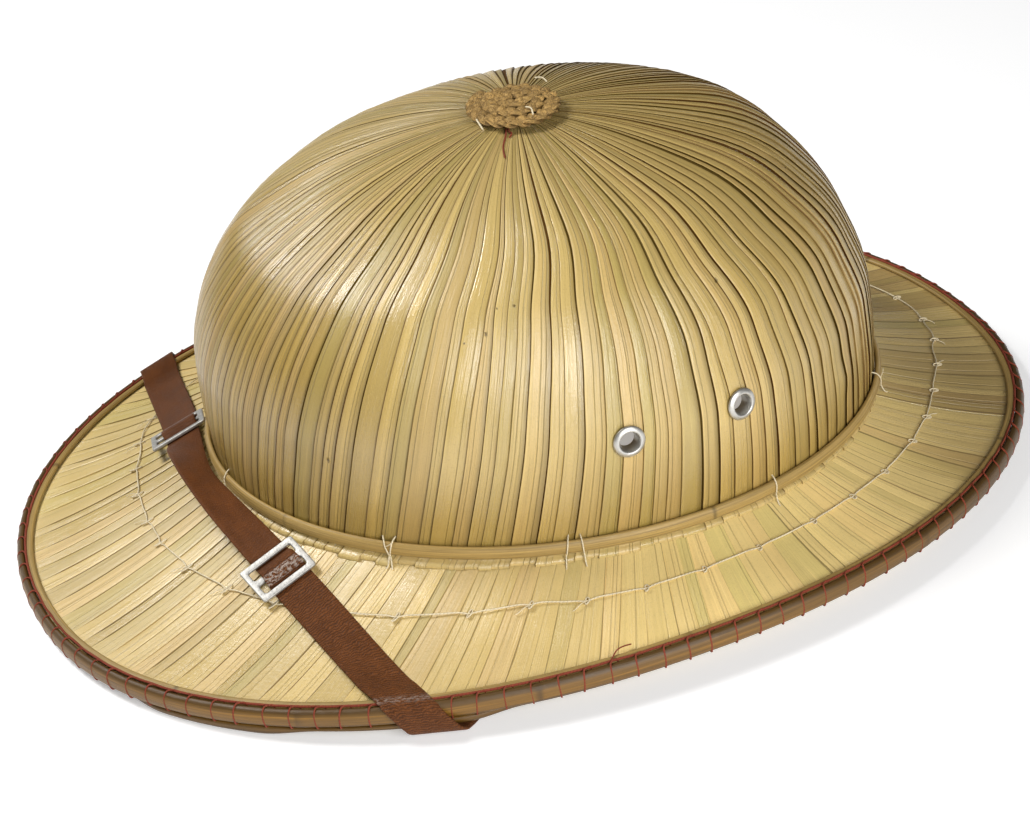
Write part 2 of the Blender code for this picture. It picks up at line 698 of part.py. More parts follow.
def strap_wall_run(start, slant):
    """The climb up the crown's inner wall to the pinned end."""
    place = start[0]
    bearing = math.atan2(place.x * CROWN_HALF_LENGTH, (CROWN_CENTRE_Y - place.y) * CROWN_HALF_WIDTH)
    inset = CROWN_WALL + STRAP_WALL_GAP + 0.5 * STRAP_THICKNESS
    climb = 1.0 / math.hypot(1.0, slant)
    turn_rate = (foot_point(bearing + 0.01, inset) - foot_point(bearing, inset)).to_2d().length / 0.01
    run = []
    rows = 6
    for i in range(1, rows + 1):
        length = STRAP_END_LENGTH * i / rows
        here = bearing + slant * climb * length / turn_rate
        foot = foot_point(here, inset)
        side = outward(foot_point, here)
        along = Vector((-side.y, side.x, 0.0))
        level = Vector((0.0, 0.0, slant)) - along
        run.append((Vector((foot.x, foot.y, place.z + climb * length)), level.normalized()))
    return run


def strap_half(name):
    """Half of the strap, from the front middle to its end, drawn on the left without its slider."""
    top, heading = strap_top_run(name)
    wrap, leave = strap_wrap_run(heading)
    knee, slant = strap_knee_run(wrap[-1], leave)
    return soften(top + wrap + knee + strap_wall_run(knee[-1], slant))


def soften(run):
    """Ease the corners of a run."""
    eased = list(run)
    for i in range(1, len(run) - 1):
        place = run[i][0] * 0.6 + (run[i - 1][0] + run[i + 1][0]) * 0.2
        across = run[i][1] * 0.5 + (run[i - 1][1] + run[i + 1][1]) * 0.25
        eased[i] = (place, across.normalized())
    return eased


def run_lengths(run):
    """Distance of each point of a run from its first."""
    lengths = [0.0]
    for (one, _), (two, _) in zip(run, run[1:]):
        lengths.append(lengths[-1] + (two - one).length)
    return lengths


def run_at(run, distance):
    """Place, direction ahead and normal of the leather at a distance along a run."""
    lengths = run_lengths(run)
    index = max(i for i, length in enumerate(lengths[:-1]) if length <= distance)
    share = (distance - lengths[index]) / (lengths[index + 1] - lengths[index])
    (one, first), (two, second) = run[index], run[index + 1]
    ahead = (two - one).normalized()
    return one.lerp(two, share), ahead, first.lerp(second, share).cross(ahead).normalized()


def slider_wave(distance):
    """Rise of the strap near the middle of a slider, over its middle bar."""
    return SLIDER_WAVE * (1.0 - blend(abs(distance), SLIDER_WAVE_START, SLIDER_WAVE_END))


def with_slider(run, distance):
    """Run the strap under the slider's end bars and over its middle bar."""
    lengths = run_lengths(run)
    reach = 0.5 * SLIDER_LENGTH
    before = [pair for pair, length in zip(run, lengths) if length < distance - reach - SLIDER_EASE]
    after = [pair for pair, length in zip(run, lengths) if length > distance + reach + SLIDER_EASE]
    place, ahead, normal = run_at(run, distance)
    rows = []
    for i in range(-5, 6):
        offset = reach * i / 5.0
        rows.append((place + ahead * offset + normal * slider_wave(offset), ahead.cross(normal)))
    return before + rows + after


def mirrored(run):
    """The same run on the other side of the helmet, walked the other way."""
    flip = Vector((-1.0, 1.0, 1.0))
    return [(place * flip, across * flip) for place, across in reversed(run)]


def strap_width(name, distance):
    """Width of the strap at a distance from the front middle, wider past the slider."""
    place = SLIDER_PLACES[name]
    past = blend(distance, place - 0.5 * SLIDER_LENGTH, place + 0.5 * SLIDER_LENGTH)
    return STRAP_WIDTH + (STRAP_END_WIDTHS[name] - STRAP_WIDTH) * past


def build_strap(finish):
    """One leather band: over the front brim, round both sides of the rim, up inside the crown."""
    halves = {name: strap_half(name) for name in SIDES}
    runs = {name: with_slider(half, SLIDER_PLACES[name]) for name, half in halves.items()}
    widths = {name: [strap_width(name, length) for length in run_lengths(run)] for name, run in runs.items()}
    run = mirrored(runs["right"])[:-1] + runs["left"]
    run_widths = widths["right"][:0:-1] + widths["left"]
    rings = []
    for i, ((place, across), width) in enumerate(zip(run, run_widths)):
        ahead = (run[min(i + 1, len(run) - 1)][0] - run[max(i - 1, 0)][0]).normalized()
        normal = across.cross(ahead)
        side = across * (0.5 * width / normal.length)
        thick = normal.normalized() * 0.5 * STRAP_THICKNESS
        rings.append([place + side + thick, place - side + thick, place - side - thick, place + side - thick])
    return add_object("strap", loft(rings, caps=True), finish), halves


# ---- sliders and pins --------------------------------------------------------------------
def build_slider(name, finish, place, ahead, normal):
    """Flat three-bar slider: two end bars over the strap, a middle bar under it."""
    inner, outer = 0.5 * SLIDER_SPAN - SLIDER_RAIL, 0.5 * SLIDER_SPAN
    end, bar = 0.5 * SLIDER_LENGTH, SLIDER_BAR
    xs = [-outer, -inner, inner, outer]
    ys = [-end, bar - end, -0.5 * bar, 0.5 * bar, end - bar, end]
    bm = bmesh.new()
    bmesh.ops.create_grid(bm, x_segments=3, y_segments=5, size=1.0)
    for vert in bm.verts:
        vert.co.x = xs[round((vert.co.x + 1.0) * 1.5)]
        vert.co.y = ys[round((vert.co.y + 1.0) * 2.5)]
    windows = []
    for face in bm.faces:
        middle = face.calc_center_median()
        if abs(middle.x) < inner and 0.5 * bar < abs(middle.y) < end - bar:
            windows.append(face)
    bmesh.ops.delete(bm, geom=windows, context="FACES")
    grown = bmesh.ops.extrude_face_region(bm, geom=bm.faces[:])
    raised = [item for item in grown["geom"] if isinstance(item, bmesh.types.BMVert)]
    bmesh.ops.translate(bm, verts=raised, vec=(0.0, 0.0, SLIDER_THICKNESS))
    bmesh.ops.translate(bm, verts=bm.verts, vec=(0.0, 0.0, -0.5 * SLIDER_THICKNESS))
    corners = []
    for edge in bm.edges:
        if all(abs(vert.co.x) > outer - 1e-6 and abs(vert.co.y) > end - 1e-6 for vert in edge.verts):
            corners.append(edge)
    bmesh.ops.bevel(bm, geom=corners, offset=SLIDER_CORNER, segments=2, profile=0.5, affect="EDGES")
    obj = add_object(name, bm, finish)
    turn = Matrix((ahead.cross(normal), ahead, normal)).transposed().to_4x4()
    obj.matrix_world = Matrix.Translation(place + normal * 0.5 * SLIDER_WAVE) @ turn


def build_sliders(halves, finish):
    """A slider on each side of the front, as the strap is worn."""
    for name, side in SIDES.items():
        place, ahead, normal = run_at(halves[name], SLIDER_PLACES[name])
        place = place + ahead.cross(normal) * SLIDER_SHIFT
        flip = Vector((side, 1.0, 1.0))
        build_slider(f"slider_{name}", finish, place * flip, ahead * flip, normal * flip)


def build_pins(crown, strap, half, finish):
    """Plain pins that hold the strap's ends to the crown, behind the foot hoop."""
    place, _, normal = run_at(half, run_lengths(half)[-1] - STRAP_END_LENGTH + STRAP_PIN_LENGTH)
    head_base = 0.5 * STRAP_THICKNESS + GAP
    tip = -0.5 * STRAP_THICKNESS - STRAP_WALL_GAP - CROWN_WALL + GAP
    rows = [
        (PIN_RADIUS, tip), (PIN_RADIUS, head_base), (PIN_HEAD_RADIUS, head_base),
        (0.7 * PIN_HEAD_RADIUS, head_base + PIN_HEAD),
    ]
    for name, side in SIDES.items():
        flip = Vector((side, 1.0, 1.0))
        pin = add_object(f"strap_pin_{name}", loft(circles(rows, PIN_SIDES), caps=True), finish)
        pin.matrix_world = axis_frame(place * flip, normal * flip)
        for target in (crown, strap):
            bore(target, place * flip, normal * flip, PIN_RADIUS + GAP, PIN_BORE_LENGTH, PIN_SIDES)


def main():
    for obj in list(bpy.data.objects):
        bpy.data.objects.remove(obj, do_unlink=True)
    leaf = material("palm_leaf", (0.55, 0.44, 0.22), 0.5)
    pale_leaf = material("palm_leaf_brim", (0.68, 0.57, 0.32), 0.5)
    bamboo = material("split_bamboo", (0.50, 0.35, 0.12), 0.42)
    green_bamboo = material("rim_bamboo", (0.30, 0.21, 0.07), 0.42)
    raffia = material("braided_raffia", (0.42, 0.27, 0.09), 0.7)
    leather = material("brown_leather", (0.10, 0.035, 0.018), 0.55)
    nickel = material("nickel", (0.72, 0.70, 0.66), 0.35, 1.0)

    crown = build_crown(leaf)
    build_brim(pale_leaf)
    build_foot_hoop(bamboo)
    build_top_hoop(bamboo)
    build_outer_hoop(green_bamboo)
    build_under_hoop(green_bamboo)
    build_button(raffia)
    build_eyelets(crown, nickel)
    strap, halves = build_strap(leather)
    build_sliders(halves, nickel)
    build_pins(crown, strap, halves["left"], nickel)


main()
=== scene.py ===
"""Dress the palm-leaf helmet's frame: leaf strips, split bamboo, thread, braid, leather, metal.

Laid out as an add-on and run as a script. Metres, +Z up; the wearer faces -Y and +X is the
wearer's left. The curves of the rim, the crown, the brim and the strap are those of the solids.
"""
import random
from functools import lru_cache
from math import atan2, cos, degrees, exp, hypot, pi, radians, sin

import bmesh
import bpy
from mathutils import Matrix, Vector, noise


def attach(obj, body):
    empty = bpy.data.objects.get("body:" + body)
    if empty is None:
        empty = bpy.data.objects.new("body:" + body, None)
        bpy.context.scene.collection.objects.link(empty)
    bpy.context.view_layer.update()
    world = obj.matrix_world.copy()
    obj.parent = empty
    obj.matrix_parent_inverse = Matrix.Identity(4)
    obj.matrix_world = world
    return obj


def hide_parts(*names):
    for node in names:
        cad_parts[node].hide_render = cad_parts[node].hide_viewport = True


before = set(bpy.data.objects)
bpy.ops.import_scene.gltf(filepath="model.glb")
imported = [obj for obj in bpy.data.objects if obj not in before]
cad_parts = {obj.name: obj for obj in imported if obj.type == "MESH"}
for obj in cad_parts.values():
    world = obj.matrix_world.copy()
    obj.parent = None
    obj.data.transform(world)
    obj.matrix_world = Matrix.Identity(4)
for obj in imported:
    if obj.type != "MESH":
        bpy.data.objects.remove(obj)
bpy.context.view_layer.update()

bl_info = {
    "name": "Palm-leaf pith helmet",
    "version": (1, 0, 0),
    "blender": (4, 5, 0),
    "location": "3D View > Sidebar > Helmet",
    "description": "Dresses the helmet's frame in leaf strips, bamboo, thread, braid and leather",
    "category": "Add Mesh",
}

TAU = 2.0 * pi


def table(columns, *rows):
    """Rows of numbers under named columns."""
    return [dict(zip(columns.split(), row)) for row in rows]


def vec(x, y, z=0.0):
    return Vector((x, y, z))


# ---- curves of the solids ----
GAP = 0.0003
RIM_HALF_LENGTH, RIM_HALF_WIDTH, RIM_SQUARENESS = 0.180, 0.141, 2.15
RIM_HEIGHT, RIM_SADDLE = 0.0110, 0.0026
CROWN_CENTRE_Y, CROWN_HALF_LENGTH, CROWN_HALF_WIDTH = 0.0104, 0.1195, 0.103
CROWN_FOOT_HEIGHT, CROWN_FOOT_PITCH, CROWN_TOP, CROWN_WALL = 0.0322, 0.0056, 0.1379, 0.0019
CROWN_SECTIONS = table(
    "height reach slide",
    (0.00, 1.000, 0.0000), (0.12, 1.005, -0.0004), (0.30, 0.999, -0.0010), (0.50, 0.948, -0.0020),
    (0.70, 0.830, -0.0015), (0.85, 0.643, 0.0020), (0.95, 0.378, 0.0005), (1.00, 0.000, 0.0000),
)
TAB_LENGTH, TAB_THICKNESS = 0.0038, 0.0010
BRIM_WALL, BRIM_FLARE = 0.0018, 1.45
FOOT_HOOP_HEIGHT, FOOT_HOOP_THICKNESS = 0.0045, 0.0019
OUTER_HOOP_HEIGHT, OUTER_HOOP_THICKNESS = 0.0065, 0.0031
TOP_HOOP_WIDTH, TOP_HOOP_THICKNESS = 0.0032, 0.0015
UNDER_HOOP_WIDTH, UNDER_HOOP_DEPTH = 0.0038, 0.0087
LAP_START, LAP_FULL_START, LAP_FULL_END, LAP_END = map(radians, (22, 29, 64, 70))
LAP_LIFT_START, LAP_LIFT_END, LAP_LIFT, LAP_REACH = radians(42), radians(49), 0.0027, 0.0022
BUTTON_RADIUS = 0.0160
EYELET_BEARINGS = {"front": radians(83.5), "back": radians(103.5)}
EYELET_HEIGHT_SHARE, EYELET_RADIUS, EYELET_BORE, EYELET_BARREL = 0.314, 0.0055, 0.0028, 0.0033
EYELET_BACK_RADIUS, EYELET_SEAT, EYELET_BACK_CLEARANCE = 0.0046, 0.0004, 0.0008
EYELET_HOLE = 0.0040
SIDES = {"left": 1.0, "right": -1.0}
STRAP_WIDTH, STRAP_THICKNESS, STRAP_LIFT, STRAP_TAB_LIFT = 0.0128, 0.0012, 0.0015, 0.0014
STRAP_END_WIDTHS = {"left": 0.0144, "right": 0.0138}
STRAP_BOW_HALF_WIDTH, STRAP_BOW_HALF_LENGTH, STRAP_BOW_PULL = 0.1106, 0.1271, 0.30
STRAP_BOW_ENDS = {"left": radians(8), "right": radians(13)}
STRAP_RIM_BEARING = radians(58)
STRAP_RAISE, STRAP_RAISE_LIFT = radians(50), 0.0030
STRAP_RAISE_START, STRAP_RAISE_PEAK, STRAP_RAISE_END = -0.042, -0.008, 0.060
STRAP_STEP, STRAP_TOP_STOP = 0.012, 0.0100
STRAP_WRAP = table(
    "out up",
    (-0.0060, 0.00180), (-0.0025, 0.00165), (0.0012, 0.00130), (0.0030, 0.00050),
    (0.0040, -0.00100), (0.0042, -0.00350), (0.0042, -0.00700), (0.0036, -0.00940),
    (0.0022, -0.01085), (-0.0010, -0.01110), (-0.0055, -0.01100),
)
STRAP_KNEE = table(
    "out up", (0.0028, -0.0036), (0.0000, -0.0023), (-0.0017, -0.0010), (-0.0022, 0.0010)
)
STRAP_SPAN_ROWS, STRAP_WALL_ROWS = 6, 6
STRAP_WALL_GAP, STRAP_END_LENGTH, STRAP_PIN_LENGTH = 0.0009, 0.019, 0.0042
SLIDER_LENGTH, SLIDER_SPAN, SLIDER_SHIFT, SLIDER_THICKNESS = 0.0152, 0.0212, 0.0010, 0.0012
SLIDER_RAIL, SLIDER_BAR, SLIDER_CORNER = 0.0021, 0.0020, 0.0016
SLIDER_WAVE, SLIDER_WAVE_START, SLIDER_WAVE_END, SLIDER_EASE = 0.0031, 0.0010, 0.0054, 0.003
SLIDER_PLACES = {"left": 0.0550, "right": 0.0480}
PIN_RADIUS, PIN_HEAD_RADIUS, PIN_HEAD = 0.0012, 0.0030, 0.0008

# ---- marks that the leaf, the threads and the button carry ----
# Swellings where leaf strips stand proud of the crown.
CROWN_SWELLS = table(
    "bearing share height turn rise",
    (-20.0, 0.70, 0.0011, 9.0, 0.07), (-62.0, 0.80, 0.0010, 14.0, 0.06),
    (178.0, 0.88, 0.0009, 16.0, 0.05), (130.0, 0.17, 0.0009, 3.0, 0.05),
)
# Pinholes and specks in the crown's leaf.
CROWN_SPECKS = table(
    "x y z size",
    (0.0775, -0.0387, 0.1042, 0.0011), (0.0758, -0.0457, 0.1024, 0.0006),
    (0.0759, -0.0276, 0.1103, 0.0009), (0.0742, -0.0328, 0.1101, 0.0005),
    (0.0572, -0.0900, 0.0646, 0.0009), (0.0841, 0.0393, 0.1021, 0.0010),
    (0.0431, 0.0879, 0.1112, 0.0009),
)
# Turn of the crown's strips near the foot and near the top, and the bearings between which
# it comes and goes.
TWIST, TWIST_FRONT, TWIST_BACK, TWIST_TOP = radians(8.2), (-90.0, 20.0), (60.0, 125.0), 0.72
TOP_TWIST, TOP_TWIST_FRONT, TOP_TWIST_BACK = radians(4.6), (75.0, 114.0), (145.0, 179.0)
# Height of a strip across its width. A free edge lies on its neighbour.
CROWN_PROFILE = table(
    "across height",
    (0.00, 0.90), (0.05, 1.00), (0.25, 0.93), (0.60, 0.62), (0.88, 0.22), (1.00, 0.00),
)
BRIM_PROFILE = table(
    "across height",
    (0.00, 0.00), (0.12, 0.30), (0.45, 0.72), (0.80, 0.97), (0.96, 1.00), (1.00, 0.85),
)
# Course of the thread ring on the brim: share of the brim's width at each bearing.
BRIM_THREAD = table(
    "bearing share",
    (-160, 0.560), (-135, 0.450), (-108, 0.385), (-80, 0.400), (-58, 0.455), (-37, 0.500),
    (-25, 0.424), (-15, 0.401), (-5, 0.386), (9, 0.383), (28, 0.368), (45, 0.351), (60, 0.338),
    (68, 0.322), (76, 0.368), (84, 0.383), (98, 0.373), (115, 0.374), (135, 0.387), (152, 0.409),
    (164, 0.481), (173, 0.585), (182, 0.640), (200, 0.560),
)
# Bearings of the knots that show best, and where and how far apart the others follow.
BRIM_KNOTS = (59.8, 67.9, 75.6, 83.7, 92.0)
NEXT_KNOT, KNOT_SPACING, LAST_KNOT_GAP = 100.5, (7.2, 10.0), 6.0
STITCH_SWAY = 0.0042     # how far a whip stitch may lie off its even place, in radians
THREAD_SIDES = 6
# Ties that hold the foot hoop, with the lean of each strand.
HOOP_TIES = table(
    "bearing lean",
    (42.6, 0.0022), (71.5, -0.0012), (74.0, 0.0003), (148.0, 0.0010), (108.0, -0.0008),
    (3.0, 0.0012), (-32.0, -0.0010), (-68.0, 0.0009), (-104.0, 0.0006), (-142.0, -0.0011),
    (178.0, 0.0008),
)
# One whip stitch round the outer hoop, from the thread line.
STITCH_COURSE = table(
    "out up along",
    (-0.00030, -0.00120, 0.0034), (-0.00010, 0.00045, 0.0030), (0.00020, 0.00062, 0.0018),
    (0.00090, 0.00058, 0.0006), (0.00180, 0.00020, 0.0002), (0.00272, -0.00090, 0.0000),
    (0.00307, -0.00230, 0.0000), (0.00310, -0.00400, 0.0001), (0.00275, -0.00560, 0.0002),
    (0.00220, -0.00672, 0.0003), (0.00100, -0.00686, 0.0004), (-0.00010, -0.00600, 0.0004),
)
# A loose end of the rim's thread.
RED_END = table(
    "bearing out up",
    (79.4, -0.0002, 0.0003), (79.9, -0.0018, 0.0009), (80.5, -0.0034, 0.0014),
    (81.4, -0.0046, 0.0011), (82.3, -0.0050, 0.0007),
)
# A loose end of a knot on the brim, from the knot.
KNOT_END = table(
    "turn share lift",
    (0.0, 0.0, 0.0005), (0.012, 0.02, 0.0011), (0.022, 0.05, 0.0009), (0.03, 0.06, 0.0006),
)
# One strand over the foot hoop, from the crown's wall down to the brim, and a loose end.
TIE_COURSE = table(
    "out up",
    (-0.0004, 0.0016), (0.0007, 0.0012), (0.0017, 0.0006), (0.0027, -0.0009), (0.0029, -0.0024),
    (0.0028, -0.0040), (0.0029, -0.0047), (0.0040, -0.0056), (0.0052, -0.0068),
)
TIE_END = table(
    "out along up",
    (0.0026, -0.0005, -0.0012), (0.0034, 0.0012, 0.0002), (0.0036, 0.0026, 0.0014),
)
# Bearings of the bamboo's nodes.
HOOP_NODES = {
    "foot": (22.0, 96.0, 171.0, -118.0, -45.0),
    "top": (31.0, 88.0, 140.0, -160.0, -95.0, -34.0),
    "outer": (47.0, 71.5, 118.0, 166.0, -138.0, -84.0, -30.0),
    "under": (12.0, 60.0, 130.0, -170.0, -110.0, -50.0),
}
COIL_START, COIL_STEP, COIL_INNER, COIL_MARGIN = radians(200.0), 0.00050, 0.0011, 0.0020
BACKING_TAG = 10.0     # tells the backing from the strands, which are 0 to 2.9
# Dark core under the braid, as shares of its radius.
BUTTON_BACKING = table(
    "radius lift",
    (0.0, 0.0003), (0.5, 0.0003), (0.82, 0.0003), (0.85, 0.0008), (0.82, 0.0014),
    (0.55, 0.0022), (0.0, 0.0026),
)
# Ends of thread that show at the button: points with their lift over the crown.
BUTTON_THREADS = {
    "red": (
        ((0.0110, 0.0020, 0.0005), (0.0150, 0.0, 0.0004), (0.0205, -0.0035, 0.0003),
         (0.0265, -0.0056, 0.0004)),
        ((0.0112, 0.0030, 0.0008), (0.0135, 0.0018, 0.0006), (0.0150, 0.0022, 0.0005),
         (0.0168, 0.0004, 0.0003)),
    ),
    "white": (
        ((-0.0100, 0.0225, 0.0052), (-0.0080, 0.0245, 0.0055), (-0.0055, 0.0252, 0.0046)),
        ((0.0098, 0.0100, 0.0052), (0.0120, 0.0112, 0.0054), (0.0142, 0.0108, 0.0040)),
        ((0.0036, -0.0052, 0.0030), (0.0058, -0.0058, 0.0036), (0.0090, -0.0052, 0.0012)),
    ),
}
# Section of an eyelet's lip, its radius as a share of the eyelet's, outside edge first.
EYELET_LIP = table(
    "radius height",
    (0.975, -0.00030), (1.000, -0.00005), (0.985, 0.00025), (0.930, 0.00055), (0.840, 0.00082),
    (0.760, 0.00098), (0.700, 0.00100), (0.655, 0.00085), (0.625, 0.00050), (0.590, 0.00005),
    (0.550, -0.00060),
)
CAMERA_PLACE = vec(0.81014, -0.31414, 0.55021)
CAMERA_AHEAD = vec(-0.79683, 0.30668, -0.52059)
CAMERA_UP = vec(-0.44148, 0.29273, 0.84818)
CAMERA_LENS = 100.26
KEY_LIGHT = {"bearing": -36.0, "height": 54.0, "distance": 1.15, "size": 0.40}
FILL_LIGHT = {"bearing": 95.0, "height": 24.0, "distance": 1.2, "size": 0.70}
AIM = vec(0.0, 0.0, 0.06)            # what the lights look at
AGED_GAP = (0.135, 0.055, 0.010)     # red-brown of some lines between the strips
# Painted shade, multiplied over the crown's low, front and back parts.
PAINTED_SHADE_TINT = (0.68, 0.62, 0.44)       # what the crown's low and front parts are darkened by
# Painted light, multiplied over the brim's sides and one front corner.
PAINTED_LIGHT_TINT = (1.45, 1.50, 1.55)       # what the brim's palest parts are lightened by
PALE_RAFFIA = (0.70, 0.50, 0.20)


# ---- settings ----
def length_setting(name, description, default):
    """A size in metres."""
    return bpy.props.FloatProperty(
        name=name, description=description, default=default, min=0.0, max=0.1, precision=5,
        unit="LENGTH",
    )


def colour_setting(name, description, default):
    """A linear colour."""
    return bpy.props.FloatVectorProperty(
        name=name, description=description, default=default, min=0.0, max=1.0, size=3,
        subtype="COLOR",
    )


def count_setting(name, description, default):
    """A number of strips or stitches."""
    return bpy.props.IntProperty(
        name=name, description=description, default=default, min=40, max=170
    )


def strength_setting(name, description, default, unit="NONE"):
    """A strength of light."""
    return bpy.props.FloatProperty(
        name=name, description=description, default=default, min=0.0, unit=unit
    )


class LeafSettings(bpy.types.PropertyGroup):
    """Leaf strips of the crown and the brim."""

    crown_strips: count_setting("Crown strips", "Leaf strips round the crown's foot", 128)
    brim_strips: count_setting("Brim strips", "Leaf strips round the brim", 124)
    crown_lap: length_setting("Crown lap", "Step where a strip of the crown laps", 0.00062)
    brim_lap: length_setting("Brim lap", "Step where a strip of the brim laps", 0.00042)
    crown_colour: colour_setting("Crown leaf", "Straw of the crown", (0.575, 0.415, 0.145))
    brim_colour: colour_setting("Brim leaf", "Straw of the brim", (0.62, 0.455, 0.175))
    gap_colour: colour_setting("Gap", "Brown of the gaps", (0.115, 0.070, 0.008))


class BambooSettings(bpy.types.PropertyGroup):
    """Split-bamboo hoops."""

    foot_colour: colour_setting("Foot hoop", "Golden bamboo", (0.42, 0.275, 0.082))
    rim_colour: colour_setting("Rim hoop", "Tan bamboo of the rim", (0.255, 0.122, 0.013))
    rind_colour: colour_setting("Rind", "Brown rind of the rim", (0.115, 0.055, 0.005))
    node_swell: length_setting("Node swell", "Height of the bamboo's nodes", 0.00028)


class ThreadSettings(bpy.types.PropertyGroup):
    """Whip stitching of the rim, thread ring of the brim and ties of the foot hoop."""

    stitches: count_setting("Rim stitches", "Whip stitches round the rim", 120)
    red_thickness: length_setting("Red thread", "Thickness of the rim's thread", 0.00060)
    white_thickness: length_setting("White thread", "Thickness of the brim's thread", 0.00055)
    red_colour: colour_setting("Red thread colour", "Faded brown-red", (0.21, 0.032, 0.010))
    white_colour: colour_setting("White thread colour", "Raw cotton", (0.72, 0.62, 0.42))


class ButtonSettings(bpy.types.PropertyGroup):
    """Coil of braid on top."""

    pitch: length_setting("Coil pitch", "Distance between two turns of the braid", 0.0050)
    plait: length_setting("Plait", "Length of one plait of a strand", 0.0120)
    colour: colour_setting("Raffia", "Brown straw of the braid", (0.36, 0.215, 0.065))


class StrapSettings(bpy.types.PropertyGroup):
    """Leather strap."""

    colour: colour_setting("Leather", "Red-brown coat of the leather", (0.122, 0.039, 0.009))
    worn_colour: colour_setting("Worn leather", "Pale flecks in its cracks", (0.50, 0.42, 0.36))
    edge: length_setting("Edge", "Rounding of the strap's edges", 0.0004)


class MetalSettings(bpy.types.PropertyGroup):
    """Sliders, vent eyelets and pins."""

    colour: colour_setting("Nickel", "Dull white metal", (0.60, 0.585, 0.545))
    bevel: length_setting("Slider edge", "Rounding of the slider's edges", 0.00042)


class StageSettings(bpy.types.PropertyGroup):
    """Floor, light and camera."""

    floor_colour: colour_setting("Floor", "Pale floor", (0.80, 0.80, 0.80))
    floor_glow: strength_setting("Floor glow", "Light that the white ground gives back", 0.36)
    key_power: strength_setting("Key light", "Soft light from the front", 11.5, "POWER")
    fill_power: strength_setting("Fill light", "Soft low light by the camera", 12.5, "POWER")
    sky: strength_setting("Sky", "Strength of the even light", 0.10)


# ---- curves and surfaces ----
def blend(value, start, end):
    """Smooth step from 0 at start to 1 at end."""
    share = min(1.0, max(0.0, (value - start) / (end - start)))
    return share * share * (3.0 - 2.0 * share)


def half_turn(angle):
    """An angle in degrees, brought between -180 and 180."""
    return (angle + 180.0) % 360.0 - 180.0


def stepped(start, stop, step):
    """Even steps from start until stop is passed."""
    values = []
    while (stop - start) * step > 0.0:
        values.append(start)
        start += step
    return values


def distances(points):
    """Distance of each point of a line from its first, along the line."""
    lengths = [0.0]
    for one, two in zip(points, points[1:]):
        lengths.append(lengths[-1] + (two - one).length)
    return lengths


def table_curve(rows, column, power=1):
    """A smooth function of height through one column of a table, that never overshoots it."""
    places = [row["height"] for row in rows]
    values = [row[column] ** power for row in rows]
    steps = [b - a for a, b in zip(places, places[1:])]
    rises = [(b - a) / h for a, b, h in zip(values, values[1:], steps)]
    slopes = [rises[0]]
    for left, right, before, after in zip(rises, rises[1:], steps, steps[1:]):
        heavy, light = 2.0 * after + before, after + 2.0 * before
        flat = left * right <= 0.0
        slopes.append(0.0 if flat else (heavy + light) / (heavy / left + light / right))
    slopes.append(rises[-1])

    @lru_cache(maxsize=None)
    def curve(place):
        i = max(i for i, start in enumerate(places[:-1]) if start <= place or i == 0)
        t = (place - places[i]) / steps[i]
        value = values[i] * (1 + 2 * t) * (1 - t) ** 2 + slopes[i] * steps[i] * t * (1 - t) ** 2
        value += values[i + 1] * t * t * (3 - 2 * t)
        value -= slopes[i + 1] * steps[i] * t * t * (1 - t)
        return max(0.0, value) ** (1.0 / power) if power > 1 else value

    return curve


crown_reach = table_curve(CROWN_SECTIONS, "reach", power=2)
crown_slide = table_curve(CROWN_SECTIONS, "slide")


def rim_point(bearing):
    """The thread line on the rim; bearing 0 is the front, 90 degrees the wearer's left."""
    sine, cosine = sin(bearing), cos(bearing)
    scale = abs(sine) ** RIM_SQUARENESS + abs(cosine) ** RIM_SQUARENESS
    scale **= -1.0 / RIM_SQUARENESS
    height = RIM_HEIGHT - RIM_SADDLE * cos(2.0 * bearing)
    return vec(RIM_HALF_WIDTH * sine * scale, -RIM_HALF_LENGTH * cosine * scale, height)


def foot_point(bearing, inset=0.0):
    """The crown's outer wall at the top edge of the foot hoop."""
    x = (CROWN_HALF_WIDTH - inset) * sin(bearing)
    y = CROWN_CENTRE_Y - (CROWN_HALF_LENGTH - inset) * cos(bearing)
    return vec(x, y, CROWN_FOOT_HEIGHT + CROWN_FOOT_PITCH * cos(bearing))


def foot_bearing(place):
    """Bearing of a place, measured round the crown's foot."""
    return atan2(place.x * CROWN_HALF_LENGTH, (CROWN_CENTRE_Y - place.y) * CROWN_HALF_WIDTH)


def outward(line, bearing):
    """Level unit vector square to a ring line, pointing away from the crown."""
    step = 0.002
    along = line(bearing + step) - line(bearing - step)
    return vec(along.y, -along.x).normalized()


def ring_frame(line, bearing):
    """A point of a ring line, with its level outward and onward directions."""
    side = outward(line, bearing)
    return line(bearing), side, vec(-side.y, side.x)


def beside(frame_here, out, up, along=0.0):
    """A point off a ring line: outward, upward and onward of a place on it."""
    spine, side, onward = frame_here
    return spine + side * out + vec(0.0, 0.0, up) + onward * along


def crown_point(bearing, share, inset=0.0):
    """The crown's wall at a share of its height, set in by a wall thickness."""
    foot = foot_point(bearing, inset)
    reach = crown_reach(share)
    y = CROWN_CENTRE_Y + crown_slide(share) + (foot.y - CROWN_CENTRE_Y) * reach
    return vec(foot.x * reach, y, foot.z + (CROWN_TOP - inset - foot.z) * share)


def brim_point(bearing, share, drop=0.0):
    """The brim's mean upper surface: share 0 is the crown's foot, share 1 the thread line."""
    foot, rim = foot_point(bearing), rim_point(bearing)
    start = foot.z - FOOT_HOOP_HEIGHT - TAB_THICKNESS - 2.0 * GAP
    end = rim.z - TOP_HOOP_THICKNESS - GAP
    fall = BRIM_FLARE * share + (1.0 - BRIM_FLARE) * share * share
    point = foot.lerp(rim, share)
    point.z = start + (end - start) * fall - drop
    return point


def brim_width(bearing):
    """Level width of the brim at a bearing."""
    return (rim_point(bearing) - foot_point(bearing)).to_2d().length


